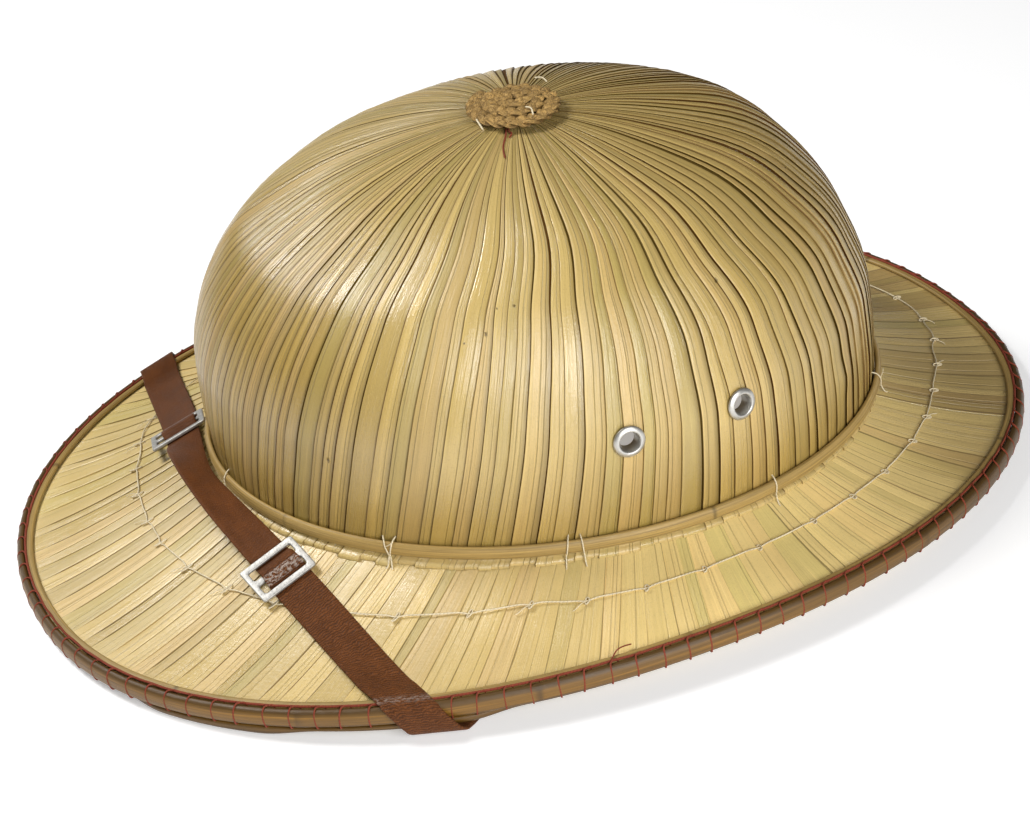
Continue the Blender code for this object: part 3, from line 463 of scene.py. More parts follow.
def wall_normal(surface, bearing, share):
    """Unit normal of a wall, to its right where share rises."""
    step = 0.004
    along = surface(bearing + step, share) - surface(bearing - step, share)
    rise = surface(bearing, share + step) - surface(bearing, share - step)
    return along.cross(rise).normalized()


def crown_normal(bearing, share):
    """Outward unit normal of the crown's wall."""
    return wall_normal(crown_point, bearing, min(share, 0.99))


def brim_normal(bearing, share):
    """Upward unit normal of the brim's upper surface."""
    return -wall_normal(brim_point, bearing, share)


def on_brim(bearing, share, lift):
    """A point above the brim's leaf."""
    return brim_point(bearing, share) + brim_normal(bearing, share) * lift


def brim_place(place):
    """Bearing and share of the brim point above a place on the ground."""
    bearing, share, step = foot_bearing(place), 0.5, 1e-4
    for _ in range(12):
        here = brim_point(bearing, share)
        turn = (brim_point(bearing + step, share) - here) / step
        slide = (brim_point(bearing, share + step) - here) / step
        miss_x, miss_y = place.x - here.x, place.y - here.y
        area = turn.x * slide.y - turn.y * slide.x
        bearing += (miss_x * slide.y - miss_y * slide.x) / area
        share += (turn.x * miss_y - turn.y * miss_x) / area
    return bearing, share


# ---- mesh helpers ----
def lay_grid(bm, columns, rows, place, facts):
    """Add a grid of faces whose corners lie at place(column, row).

    facts(column, row) is kept on each face corner, for the finish to read.
    """
    first_face = len(bm.faces)
    verts = bmesh.ops.create_grid(bm, x_segments=columns, y_segments=rows, size=1.0)["verts"]
    spots = {}
    for i, vert in enumerate(verts):
        row, column = divmod(i, columns + 1)
        vert.co = place(column, row)
        spots[vert] = facts(column, row)
    layers = bm.loops.layers.float_vector
    layer = layers.get("run") or layers.new("run")
    bm.faces.ensure_lookup_table()
    for face in bm.faces[first_face:]:
        for loop in face.loops:
            loop[layer] = spots[loop.vert]


def close_up(bm, distance=1e-6):
    """Merge seams and poles, and point the faces outward."""
    bmesh.ops.remove_doubles(bm, verts=bm.verts, dist=distance)
    bmesh.ops.dissolve_degenerate(bm, edges=bm.edges, dist=1e-7)
    bmesh.ops.recalc_face_normals(bm, faces=bm.faces)


def make_mesh(name, bm, material):
    """An object of a mesh, linked to the scene."""
    mesh = bpy.data.meshes.new(name)
    bm.to_mesh(mesh)
    bm.free()
    mesh.materials.append(material)
    piece = bpy.data.objects.new(name, mesh)
    bpy.context.scene.collection.objects.link(piece)
    return piece


def finish_piece(name, bm, finish, replaced=None, sharp_angle=60.0):
    """Make a piece of a mesh, and seat it in the frame."""
    piece = make_mesh(name, bm, finish)
    piece.data.shade_smooth()
    piece.data.set_sharp_from_angle(angle=radians(sharp_angle))
    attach(piece, "root")
    if replaced:
        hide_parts(replaced)


def smooth_line(points, pieces):
    """More points along an open line, on a curve through all of its own."""
    line = []
    last = len(points) - 1
    for i in range(last):
        before, start = points[max(i - 1, 0)], points[i]
        end, after = points[i + 1], points[min(i + 2, last)]
        for k in range(pieces):
            t = k / pieces
            bend = (end - before) * t
            bend += (before * 2.0 - start * 5.0 + end * 4.0 - after) * t * t
            bend += (start * 3.0 - before - end * 3.0 + after) * t ** 3
            line.append(start + bend * 0.5)
    return line + [points[last]]


def tube(bm, path, radius, tag=0.0, pieces=1, closed=False):
    """A thread along a path of points, with closed ends."""
    points = smooth_line(path, pieces) if pieces > 1 else list(path)
    count, sides = len(points), THREAD_SIDES
    if closed:
        points.append(points[0])
    lengths = distances(points)
    frames, side = [], None
    for i in range(len(points)):
        if closed:
            ahead = points[(i + 1) % count] - points[(i - 1) % count]
        else:
            ahead = points[min(i + 1, count - 1)] - points[max(i - 1, 0)]
        ahead.normalize()
        if side is None:
            side = ahead.orthogonal().normalized()
        side = (side - ahead * side.dot(ahead)).normalized()
        frames.append((side.copy(), ahead.cross(side)))
    if closed:
        frames[-1] = frames[0]

    def place(column, row):
        turn = TAU * column / sides
        wide, high = frames[row]
        size = 0.0 if not closed and row in (0, count - 1) else radius
        return points[row] + (wide * cos(turn) + high * sin(turn)) * size

    def facts(column, row):
        return lengths[row], column / sides, tag

    lay_grid(bm, sides, len(points) - 1, place, facts)


# ---- finishes ----
def operation(name):
    """A step of arithmetic between a shader value and others."""
    return lambda self, *others: self.finish.node("ShaderNodeMath", [self, *others], operation=name)


class Value:
    """A shader socket that takes part in arithmetic."""

    def __init__(self, finish, socket):
        self.finish = finish
        self.socket = socket

    __add__ = __radd__ = operation("ADD")
    __sub__ = operation("SUBTRACT")
    __mul__ = __rmul__ = operation("MULTIPLY")
    floor, fraction, size = operation("FLOOR"), operation("FRACT"), operation("ABSOLUTE")
    at_most, at_least = operation("MINIMUM"), operation("MAXIMUM")

    def __rsub__(self, other):
        return self.finish.node("ShaderNodeMath", [other, self], operation="SUBTRACT")

    def rise(self, low, high):
        """Smooth step from 0 at low to 1 at high."""
        settings = {"interpolation_type": "SMOOTHSTEP"}
        return self.finish.node("ShaderNodeMapRange", [self, low, high], **settings)

    def fall(self, low, high):
        """Smooth step from 1 at low to 0 at high."""
        return 1.0 - self.rise(low, high)


def shade(colour, *shares):
    """A darker or lighter colour; three shares change its hue too."""
    return tuple(min(1.0, part * share) for part, share in zip(colour, shares * 3))


class Finish:
    """A material in the making: a tone in a main colour, mixed over step by step."""

    def __init__(self, name, colour):
        self.material = bpy.data.materials.new(name)
        self.material.use_nodes = True
        self.tree = self.material.node_tree
        self.shader = self.tree.nodes["Principled BSDF"]
        self.colour = self.tone = colour

    def node(self, kind, values=(), output=0, **settings):
        """Add a node of a kind, with its settings, and the values or links of its sockets."""
        node = self.tree.nodes.new(kind)
        for name, setting in settings.items():
            setattr(node, name, setting)
        pairs = values.items() if isinstance(values, dict) else enumerate(values)
        for key, value in pairs:
            self.feed(node.inputs[key], value)
        return Value(self, node.outputs[output])

    def feed(self, socket, value):
        """Link a socket, or set it."""
        if isinstance(value, Value):
            self.tree.links.new(value.socket, socket)
        else:
            wide = socket.type == "RGBA" and len(value) == 3
            socket.default_value = (*value, 1.0) if wide else value

    def split(self, vector):
        parts = self.node("ShaderNodeSeparateXYZ", [vector])
        return [Value(self, socket) for socket in parts.socket.node.outputs]

    def run(self):
        """The three values that the mesh keeps on its face corners."""
        return self.split(self.node("ShaderNodeAttribute", output="Vector", attribute_name="run"))

    def place(self):
        """The object's own coordinates."""
        return self.node("ShaderNodeTexCoord", output="Object")

    def noise(self, vector, scale, detail=2.0, roughness=0.5, distortion=0.0):
        values = {"Vector": vector, "Scale": scale, "Detail": detail, "Roughness": roughness}
        return self.node("ShaderNodeTexNoise", {**values, "Distortion": distortion})

    def grain(self, x, y, z, detail=2.0, roughness=0.6, distortion=0.0):
        """Noise over three values."""
        vector = self.node("ShaderNodeCombineXYZ", [x, y, z])
        return self.noise(vector, 1.0, detail, roughness, distortion)

    def chance(self, number):
        """A fixed random value for each whole number."""
        return self.node("ShaderNodeTexWhiteNoise", {"W": number}, noise_dimensions="1D")

    def mix(self, share, one, two, blend_type="MIX"):
        """Mix two colours."""
        values = {"Factor": share, 6: one, 7: two}
        settings = {"data_type": "RGBA", "blend_type": blend_type}
        return self.node("ShaderNodeMix", values, 2, **settings)

    def coat(self, share, colour, blend_type="MIX"):
        """Mix a colour over the tone."""
        self.tone = self.mix(share, self.tone, colour, blend_type)

    def paint(self, share, *shades):
        """Mix a shade of the main colour over the tone."""
        self.coat(share, shade(self.colour, *shades))

    def near(self, mark):
        """1 at a mark on the piece, falling to 0 at its size."""
        size, point = mark["size"], (mark["x"], mark["y"], mark["z"])
        offset = self.node("ShaderNodeVectorMath", [self.place(), point], operation="SUBTRACT")
        stretch = (1.0, 1.0, 0.5)
        offset = self.node("ShaderNodeVectorMath", [offset, stretch], operation="MULTIPLY")
        gap = self.node("ShaderNodeVectorMath", [offset], output="Value", operation="LENGTH")
        ragged = self.noise(self.place(), 2600.0, 1.0) * (0.9 * size)
        return (gap + ragged).fall(size * 0.6, size * 1.15)

    def done(self, roughness, relief=None, depth=0.0, metallic=0.0, shine=0.5):
        """Set the shader's sockets and give back the material."""
        sockets = {
            "Base Color": self.tone, "Roughness": roughness, "Metallic": metallic,
            "Specular IOR Level": shine,
        }
        if relief is not None:
            values = {"Height": relief, "Distance": depth, "Strength": 1.0}
            sockets["Normal"] = self.node("ShaderNodeBump", values)
        for name, value in sockets.items():
            self.feed(self.shader.inputs[name], value)
        return self.material


def leaf_finish(name, colour, gap_colour, strips, fibre_count, specks, line_width, tuck):
    """Dry palm leaf: a tone for each strip, fibres along it, brown lines between strips, with
    painted light and shade.

    tuck is 1 on the crown, whose strips tuck under each other, and 0 on the brim.
    """
    finish = Finish(name, colour)
    grain, paint = finish.grain, finish.paint
    around, along, side = finish.run()
    strip, across, joint = around.floor(), around.fraction(), (around + 0.5).floor()
    first, second, third = (finish.chance(strip + seed) for seed in (0.5, 311.5, 947.5))
    bold = finish.chance(joint + 77.5).rise(0.40, 0.75)
    beam, length, _ = finish.split(finish.place())
    back = length.rise(-0.02, 0.10)
    turn = (around * (1.0 / strips) + 0.5).fraction() - 0.5
    front = turn.rise(-0.42, -0.30) * turn.fall(0.05, 0.20) * tuck

    # Each strip's tone, and its fibres, bands and folds.
    fibres = grain(around * fibre_count, along * 16.0, first * 40.0, 3.0, 0.62)
    fine = grain(around * (3.2 * fibre_count), along * 60.0, second * 30.0)
    bands = grain(around * 1.3, along * 26.0, first * 9.0, 3.0)
    ripple = grain(around * 3.5, along * 1300.0, third * 20.0, 2.0, 0.55, 0.4)
    streaks = grain(around * 2.6, along * 34.0, 11.0)
    grit = finish.noise(finish.place(), 1500.0, 2.0, 0.7)
    finish.tone = shade(colour, 0.86)
    paint(first, 1.10)
    paint(second.rise(0.60, 0.95) * 0.34, 1.02, 0.88, 0.84)
    paint(third.rise(0.62, 0.95) * 0.62, 0.76, 0.83, 0.70)
    paint(bands.rise(0.50, 0.78) * 0.40, 0.74)
    paint(grit.rise(0.50, 0.75) * 0.30, 0.60)
    paint(fibres.rise(0.50, 0.74) * (0.24 + tuck * 0.22), 0.62, 0.62, 0.50)
    paint(fibres.fall(0.26, 0.44) * 0.36, 1.30)
    paint(fine.rise(0.52, 0.75) * 0.24, 0.66)
    fold_one = (across - 0.22 - first * 0.30).size().fall(0.006, 0.035) * second.rise(0.25, 0.5)
    fold_two = (across - 0.58 - third * 0.28).size().fall(0.004, 0.025) * first.rise(0.35, 0.6)
    folds = fold_one.at_least(fold_two)
    paint(folds * (0.10 + tuck * 0.34), 0.46, 0.50, 0.36)
    paint(streaks.rise(0.70, 0.80) * 0.45, 0.62, 0.42, 0.30)

    # Painted shade where a strip goes under the next, a painted highlight on its free edge, and
    # painted shade beside that edge on the front.
    tuck_shade = across.rise(0.62 - first * 0.2, 1.0) * (0.18 + bold * 0.60 + back * 0.30) * tuck
    paint(tuck_shade, 0.40, 0.38, 0.27)
    crest = (across.fall(0.04, 0.16) * tuck - front) * (0.25 + bold * 0.45)
    paint(crest.at_least(0.0), 1.25)
    paint(across.fall(0.0, 0.38) * front * (0.25 + first * 0.50), 0.42, 0.36, 0.20)

    # The brown line between two strips.
    wear = grain(joint * 3.1, along * 40.0, 2.0)
    width = (0.42 + bold * 0.60) * (1.0 + back * (3.0 - tuck * 2.8)) * (1.0 + front * 0.6)
    width = width * (1.0 + along.rise(0.08, 0.13) * 3.2) * line_width
    facing = turn.rise(0.16, 0.20) * turn.fall(0.27, 0.31) * 0.5
    margin = (across - front * 0.07).fall(0.2 * line_width, 0.5 * line_width) * (1.0 - facing)
    line = (across + width - 1.0).rise(0.0, line_width * 0.4).at_least(margin)
    line = line * (0.42 + bold * 0.45 + wear.rise(0.25, 0.6) * 0.35).at_most(1.0)
    age = (first + back * 0.4).rise(0.60, 1.0) * 0.9
    finish.coat(line * (0.72 + tuck * 0.28), finish.mix(age, gap_colour, AGED_GAP))

    # Darker and paler parts of the helmet (painted shade on the crown, painted light on the brim),
    # the leaf ends and the inside.
    paint(third.rise(0.45, 0.80) * along.rise(0.09, 0.14) * tuck * 0.40, 0.50, 0.45, 0.32)
    # Some brim strips darker towards the back.
    back_dark_strips = second.rise(0.5, 0.8) * length.rise(0.09, 0.14) * (1.0 - tuck) * 0.6
    paint(back_dark_strips, 0.50, 0.44, 0.36)
    tab = along.fall(-0.0006, 0.0)
    # Painted shade: the crown darker near its foot, at its front and at its back.
    low = along.fall(0.0, 0.062).at_least(length.fall(-0.105, -0.045) * 0.95)
    low = low.at_least(back * 0.55) * tuck * (1.0 - tab)
    finish.coat(low, PAINTED_SHADE_TINT, "MULTIPLY")
    # Painted light on the brim: its stretch along both sides, and half as much at its front on the
    # -X side.
    far_light = beam.fall(-0.10, 0.0) * length.fall(-0.09, -0.02) * (1.0 - tuck)
    pale = length.rise(-0.06, 0.03) * length.fall(0.085, 0.15) * (1.0 - tuck)
    finish.coat(pale.at_least(far_light * 0.5), PAINTED_LIGHT_TINT, "MULTIPLY")
    paint(tab * 0.45, 1.10, 1.12, 1.25)
    finish.coat(along.fall(-0.018, -0.006), gap_colour)
    paint((side - 0.5).rise(0.0, 0.2) * 0.35, 0.6, 0.52, 0.4)
    relief = fibres * 0.9 + fine * 0.34 + ripple * 0.34 + grit * 0.2 - folds * 0.9
    for mark in specks:
        spot = finish.near(mark)
        finish.coat(spot * 0.85, gap_colour)
        relief = relief - spot * 1.5
    roughness = 0.14 + fibres * 0.16 + second * 0.22 + line * 0.5
    # The metallic share only takes the white sheen off the lines.
    metallic = line * tuck * 0.9
    return finish.done(roughness, relief, depth=0.00024, metallic=metallic, shine=0.95)


def bamboo_finish(name, colour, rind_colour, rind_share):
    """Split bamboo: fine straight grain, darker rind, a scar at each node; painted shade on the
    rim's hoops.
    """
    finish = Finish(name, colour)
    along, across, node = finish.run()
    grain = finish.grain(along * 45.0, across * 70.0, 1.0, 4.0, 0.65)
    streak = finish.grain(along * 16.0, across * 14.0, 4.0, 3.0, 0.55)
    patch = finish.grain(along * 9.0, across * 2.0, 8.0, 3.0)
    finish.coat((rind_share + patch * 0.5 - 0.25).rise(0.2, 0.8), rind_colour)
    finish.coat(streak.rise(0.45, 0.7) * 0.6, shade(rind_colour, 0.72))
    finish.paint(streak.fall(0.3, 0.48) * 0.6, 1.45)
    dark = shade(rind_colour, 0.50)
    finish.coat(grain.rise(0.5, 0.68) * 0.62, dark)
    # Painted shade on the rim hoops: darker towards the back, and at the top edge and lower half of
    # the hoop's section.
    if rind_share >= 0.5:
        back_shade = finish.split(finish.place())[1].rise(0.02, 0.13)
        finish.coat(back_shade * 0.75, dark)
        edge = across.fall(0.20, 0.30).at_least(across.rise(0.48, 0.64))
        finish.coat(edge * 0.80, dark)
    finish.coat(node.rise(0.35, 0.9) * 0.7, shade(rind_colour, 0.45))
    return finish.done(0.34 + grain * 0.22, grain * 0.6 + streak * 0.4, depth=0.00015)


def thread_finish(name, colour, twist):
    """Spun thread: a twist of fine strands."""
    finish = Finish(name, colour)
    along, round_share, tag = finish.run()
    strand = ((along * twist + round_share).fraction() - 0.5).size() * 2.0
    fuzz = finish.grain(along * 900.0, round_share * 6.0, tag)
    finish.paint(strand.rise(0.55, 1.0) * 0.6, 0.5)
    finish.paint(fuzz.rise(0.45, 0.7) * 0.45, 1.35)
    return finish.done(0.82, fuzz * 0.5 - strand * 0.5, depth=0.00012)


def raffia_finish(name, colour):
    """Plaited raffia strands: fibres along each, dark between, with painted shade where a strand
    dips under the others.
    """
    finish = Finish(name, colour)
    along, round_share, tag = finish.run()
    grain = finish.grain(along * 60.0, round_share * 26.0, tag * 7.0, 3.0, 0.65)
    patch = finish.grain(along * 130.0, tag * 3.0, 2.0, 2.0, 0.5)
    finish.tone = shade(colour, 0.80)
    finish.paint(patch.rise(0.35, 0.7), 1.60)
    finish.paint(grain.rise(0.46, 0.62) * 0.8, 0.30)
    finish.coat(grain.fall(0.30, 0.46) * 0.6, PALE_RAFFIA)
    # Painted shade where a strand dips under the others.
    finish.paint(tag.fraction().rise(0.50, 0.95) * 0.60, 0.26)
    finish.paint(tag.rise(8.0, 9.0), 0.18)
    return finish.done(0.52 + grain * 0.2, grain, depth=0.0005, shine=0.3)


def leather_finish(name, colour, worn_colour):
    """Coated leather: cross grain on the near end, pores, creases, cracks at sharp bends."""
    finish = Finish(name, colour)
    along, across, end = finish.run()
    flat = finish.node("ShaderNodeCombineXYZ", [along * 1000.0, across * 1000.0, end * 3.0])
    values = {"Vector": flat, "Scale": 1.7, "Randomness": 1.0}
    pores = finish.node("ShaderNodeTexVoronoi", values, feature="DISTANCE_TO_EDGE")
    grain = finish.grain(along * 1450.0, across * 330.0, 0.0, 2.0, 0.55, 0.4)
    wobble = finish.grain(along * 260.0, across * 420.0, 12.0)
    lengthwise = finish.grain(along * 140.0, across * 1900.0, 3.0, 3.0)
    patch = finish.grain(along * 90.0, across * 160.0, 6.0, 3.0)
    flake = finish.grain(along * 1500.0, across * 800.0, 9.0, 3.0, 0.7)
    ribs = ((along * 950.0 + wobble * 3.0).fraction() - 0.5).size() + grain * 0.5
    cells = pores.fall(0.02, 0.22)
    coarse = end.rise(0.15, 0.55).at_least(0.35)
    cracks = end.rise(1.15, 1.9)
    finish.tone = shade(colour, 0.82)
    finish.paint(patch.rise(0.3, 0.7), 1.22)
    finish.paint(lengthwise.rise(0.5, 0.75) * 0.5, 0.62)
    # Painted shade in the grooves between the ribs and a painted highlight on the rib crests, on
    # the cross-grained end.
    finish.paint(ribs.rise(0.52, 0.70) * coarse * 0.62, 0.36)
    finish.paint(ribs.fall(0.30, 0.46) * coarse * 0.42, 2.2)
    finish.coat(cracks * flake.rise(0.44, 0.58) * 0.80, worn_colour)
    finish.paint(cells * 0.25, 0.5)
    relief = ribs * coarse * -1.1 - cells * 0.35 + lengthwise * 0.3 + flake * cracks * 0.8
    roughness = 0.42 + patch * 0.14 + cells * 0.12 - coarse * 0.06
    return finish.done(roughness, relief, depth=0.00030, shine=0.17)


def metal_finish(name, colour, pits):
    """Dull nickel with a slightly pitted, scratched surface."""
    finish = Finish(name, colour)
    spot = finish.place()
    cloud = finish.noise(spot, 420.0, 3.0, 0.6)
    pit = finish.noise(spot, 1500.0, 2.0, 0.6)
    values = {"Vector": spot, "Scale": (300.0, 4200.0, 300.0)}
    scratch = finish.noise(finish.node("ShaderNodeMapping", values), 1.0, 1.0)
    finish.paint(cloud.rise(0.4, 0.7) * 0.5, 0.72)
    finish.paint(pit.rise(0.54, 0.68) * pits, 0.45)
    roughness = 0.26 + pits * 0.16 + cloud * 0.18 + scratch * 0.10
    relief = cloud * 0.6 + pit * pits * 1.6
    return finish.done(roughness, relief, depth=0.00008, metallic=1.0 - 0.55 * pits)


# ---- leaf crown and brim ----
def strip_bounds(strips, rows, seed, spread, pinch_from, wander):
    """Each strip's first edge on each row, as a share of the round, some strips pinched."""
    dice = random.Random(seed)
    widths = [dice.uniform(1.0 - spread, 1.0 + spread) for _ in range(strips)]
    edges = [sum(widths[:i]) / sum(widths) for i in range(strips + 1)]
    pinches = []
    for _ in range(strips):
        start = dice.uniform(pinch_from, 0.75)
        end = start + dice.uniform(0.35, 0.60)
        pinches.append((start, end, dice.choice((0.0, 0.0, 0.0, 0.20, 0.45))))
    bounds = []
    for row in rows:
        line = list(edges)
        for i, (start, end, amount) in enumerate(pinches):
            squeeze = 0.5 * amount * blend(row, start, end) * (edges[i + 1] - edges[i])
            line[i] += squeeze
            line[i + 1] -= squeeze
        for i in range(strips):
            line[i] += wander * noise.noise(vec(i * 5.37, row * 1.9, seed)) / strips
        line[strips] = line[0] + 1.0
        bounds.append(line)
    return bounds


def leaf_rows():
    """Rows of the crown's leaf: down the outside, round the tabs and up the inside."""
    outer = [0.9999, 0.997, 0.992, 0.984, 0.973, 0.96]
    outer += stepped(0.945, 0.41, -0.0235) + stepped(0.400, 0.225, -0.0105)
    outer += [0.21, 0.175, 0.14, 0.105, 0.07, 0.035, 0.012, 0.0]
    inner = [0.06, 0.14, 0.21] + stepped(0.225, 0.41, 0.0135)
    inner += [0.46, 0.54, 0.62, 0.70, 0.77, 0.83, 0.88, 0.92, 0.955, 0.98, 0.9999]
    drop = GAP + TAB_THICKNESS
    turn = table(
        "part share reach drop",
        ("tab", 0.0, 0.0, drop), ("tab", 0.0, 0.55, drop), ("tab", 0.0, 0.97, drop),
        ("tab", 0.0, 1.0, GAP + 0.7 * TAB_THICKNESS), ("tab", 0.0, 1.0, GAP), ("sole", 0.0),
    )
    rows = table("part share", *[("outer", share) for share in outer]) + turn
    return rows + table("part share", *[("inner", share) for share in inner])


def strip_twist(bearing, share):
    """Turn of a crown strip towards the front, near the foot and the top."""
    angle = half_turn(degrees(bearing))
    low = blend(angle, *TWIST_FRONT) * (1.0 - blend(angle, *TWIST_BACK))
    high = blend(angle, *TOP_TWIST_FRONT) * (1.0 - blend(angle, *TOP_TWIST_BACK))
    low *= max(0.0, 1.0 - share / TWIST_TOP) ** 1.35
    return -TWIST * low - TOP_TWIST * high * blend(share, 0.54, 0.90)


def swell(bearing, share):
    """Height of the swellings of the crown's leaf."""
    height = 0.0
    for row in CROWN_SWELLS:
        turn = half_turn(degrees(bearing) - row["bearing"]) / row["turn"]
        rise = (share - row["share"]) / row["rise"]
        height += row["height"] * exp(-turn ** 2 - rise ** 2)
    return height


def eyelet_places():
    """Name, place and outward axis of each vent eyelet."""
    for side, sign in SIDES.items():
        for end, bearing in EYELET_BEARINGS.items():
            spot = (sign * bearing, EYELET_HEIGHT_SHARE)
            yield f"{side}_{end}", crown_point(*spot), crown_normal(*spot)


def punch(bm, place, axis, reach):
    """Open a round hole through both faces of a wall and line it."""
    doomed = []
    for face in bm.faces:
        middle = face.calc_center_median() - place
        height = middle.dot(axis)
        if abs(height) < 0.006 and (middle - axis * height).length < reach:
            doomed.append(face)
    bmesh.ops.delete(bm, geom=doomed, context="FACES")
    rims = []
    for edge in bm.edges:
        middle = (edge.verts[0].co + edge.verts[1].co) * 0.5 - place
        if edge.is_boundary and middle.length < 3.0 * reach:
            rims.append(edge)
    bmesh.ops.bridge_loops(bm, edges=rims)


def build_leaf_crown(settings, finish):
    """Dome of overlapping leaf strips, their ends splayed out under the foot hoop."""
    strips, rows, rungs = settings.crown_strips, leaf_rows(), len(CROWN_PROFILE)
    bounds = strip_bounds(
        strips, [row["share"] for row in rows], seed=7, spread=0.40, pinch_from=0.30, wander=0.06
    )
    dice = random.Random(19)
    laps = [settings.crown_lap * dice.uniform(0.55, 1.35) for _ in range(strips)]
    tabs = [TAB_LENGTH + dice.uniform(-0.0010, 0.0008) for _ in range(strips)]
    phases = [dice.uniform(0.0, 50.0) for _ in range(strips)]

    def place(column, row):
        strip, rung = (column // rungs) % strips, CROWN_PROFILE[column % rungs]
        part, level = rows[row]["part"], rows[row]["share"]
        start, end = bounds[row][strip:strip + 2]
        bearing = TAU * (start + (end - start) * rung["across"])
        bearing += strip_twist(bearing, level)
        if part == "sole":
            return brim_point(bearing, -CROWN_WALL / brim_width(bearing), -GAP)
        if part == "tab":
            drop = rows[row]["drop"]
            lean = 0.25 * laps[strip] * (rung["height"] - 0.6) if drop > GAP else 0.0
            short = 1.0 - 0.3 * (1.0 - cos(bearing))
            reach = tabs[strip] * short * rows[row]["reach"] / brim_width(bearing)
            return brim_point(bearing, reach, -drop - lean)
        size = crown_reach(level)
        lap = min(laps[strip], 0.17 * (end - start) * 0.70 * size)
        if part == "inner":
            height = -0.45 * lap * (rung["height"] - 0.6)
            return crown_point(bearing, level, CROWN_WALL) + crown_normal(bearing, level) * height
        height = lap * (rung["height"] - 0.62) + swell(bearing, level)
        height += 0.00016 * size * noise.noise(vec(phases[strip], level * 7.0))
        if level < 0.03:
            height = min(height, 0.0001)
        return crown_point(bearing, level) + crown_normal(bearing, level) * height

    def facts(column, row):
        strip, rung = divmod(column, rungs)
        part, along = rows[row]["part"], 0.13 * rows[row]["share"] ** 0.9
        if part == "tab":
            along = -tabs[strip % strips] * rows[row]["reach"]
        across = strip + CROWN_PROFILE[rung]["across"]
        return across, along, 1.0 if part in ("inner", "sole") else 0.0

    bm = bmesh.new()
    lay_grid(bm, strips * rungs, len(rows) - 1, place, facts)
    close_up(bm, 4e-6)
    for _, hole, axis in eyelet_places():
        punch(bm, hole, axis, EYELET_HOLE)
    bmesh.ops.recalc_face_normals(bm, faces=bm.faces)
    finish_piece("leaf_crown", bm, finish, "crown", 75.0)


def build_leaf_brim(settings, finish):
    """Flared ring of overlapping leaf strips, finished on both sides."""
    strips, rungs = settings.brim_strips, len(BRIM_PROFILE)
    top = [0.0, 0.05, 0.12, 0.20, 0.28, 0.36, 0.44, 0.52, 0.60, 0.68, 0.76, 0.84, 0.90]
    under = [0.93, 0.80, 0.64, 0.48, 0.32, 0.16, 0.02]
    rows = [("inner", 0.0)] + [("top", share) for share in top]
    rows += [("hoop", 0.0), ("edge", 0.0), ("edge", 1.0), ("hoop", 1.0)]
    rows += [("under", share) for share in under] + [("inner", 1.0), ("inner", 0.0)]
    line = strip_bounds(strips, [0.0], seed=23, spread=0.42, pinch_from=0.95, wander=0.0)[0]
    dice = random.Random(5)
    laps = [settings.brim_lap * dice.uniform(0.4, 1.3) for _ in range(strips)]
    slants = [dice.uniform(-0.013, 0.013) for _ in range(strips + 1)]
    slants[-1] = slants[0]
    phases = [dice.uniform(0.0, 50.0) for _ in range(strips)]

    def level(row, bearing):
        """Share of the brim's width at which a row lies."""
        kind, value = rows[row]
        width = brim_width(bearing)
        levels = {
            "inner": -CROWN_WALL / width, "hoop": 1.0 - (UNDER_HOOP_WIDTH + GAP) / width,
            "edge": 1.0 - 0.5 * GAP / width,
        }
        return levels.get(kind, value)

    def below(row):
        return rows[row][0] == "under" or rows[row][0] != "top" and rows[row][1] == 1.0

    def place(column, row):
        strip, rung = (column // rungs) % strips, BRIM_PROFILE[column % rungs]
        first, last = TAU * line[strip], TAU * line[strip + 1]
        near = level(row, first)
        first += slants[strip] * near
        last += slants[strip + 1] * near
        bearing = first + (last - first) * rung["across"]
        share = level(row, bearing)
        size = blend(share, 0.0, 0.10) * (1.0 - blend(share, 0.84, 0.93))
        height = laps[strip] * (rung["height"] - 0.62) * size
        height += 0.00014 * size * noise.noise(vec(phases[strip], share * 5.0, 3.0))
        return brim_point(bearing, share, BRIM_WALL + 0.7 * height if below(row) else -height)

    def facts(column, row):
        strip, rung = divmod(column, rungs)
        along = 0.04 * level(row, TAU * strip / strips)
        return strip + BRIM_PROFILE[rung]["across"], along, 1.0 if below(row) else 0.0

    bm = bmesh.new()
    lay_grid(bm, strips * rungs, len(rows) - 1, place, facts)
    close_up(bm, 4e-6)
    finish_piece("leaf_brim", bm, finish, "brim", 75.0)


# ---- bamboo hoops ----
def node_share(bearing, nodes):
    """1 at a bamboo node, 0 away from it."""
    turn = min(abs(half_turn(degrees(bearing) - node)) for node in nodes)
    return exp(-(turn / 0.55) ** 2)


def rounded(points):
    """Cut the corners of a closed outline twice."""
    for _ in range(2):
        cut = []
        for one, two in zip(points, points[1:] + points[:1]):
            for share in (0.75, 0.25):
                cut.append(tuple(a * share + b * (1.0 - share) for a, b in zip(one, two)))
        points = cut
    return points


def build_hoop(name, line, section, nodes, finish, node, swell_height):
    """Sweep a bamboo section, in rows of outward and up, round a ring line."""
    columns = 432
    angles = [TAU * i / columns for i in range(columns)]
    frames = []
    for bearing in angles:
        outline = rounded(section(bearing))
        grow = swell_height * node_share(bearing, nodes)
        middle = sum(out for out, _ in outline) / len(outline)
        frames.append((line(bearing), outward(line, bearing), outline, grow, middle))
    count = len(frames[0][2])
    spines = [entry[0] for entry in frames]
    lengths = distances(spines + spines[:1])

    def place(column, row):
        spine, side, outline, grow, middle = frames[column % columns]
        out, up = outline[row % count]
        return spine + side * (out + grow if out > middle else out) + vec(0.0, 0.0, up)

    def facts(column, row):
        return lengths[column], row / count, node_share(angles[column % columns], nodes)

    bm = bmesh.new()
    lay_grid(bm, columns, count, place, facts)
    close_up(bm, 2e-6)
    finish_piece(name, bm, finish, node, 50.0)


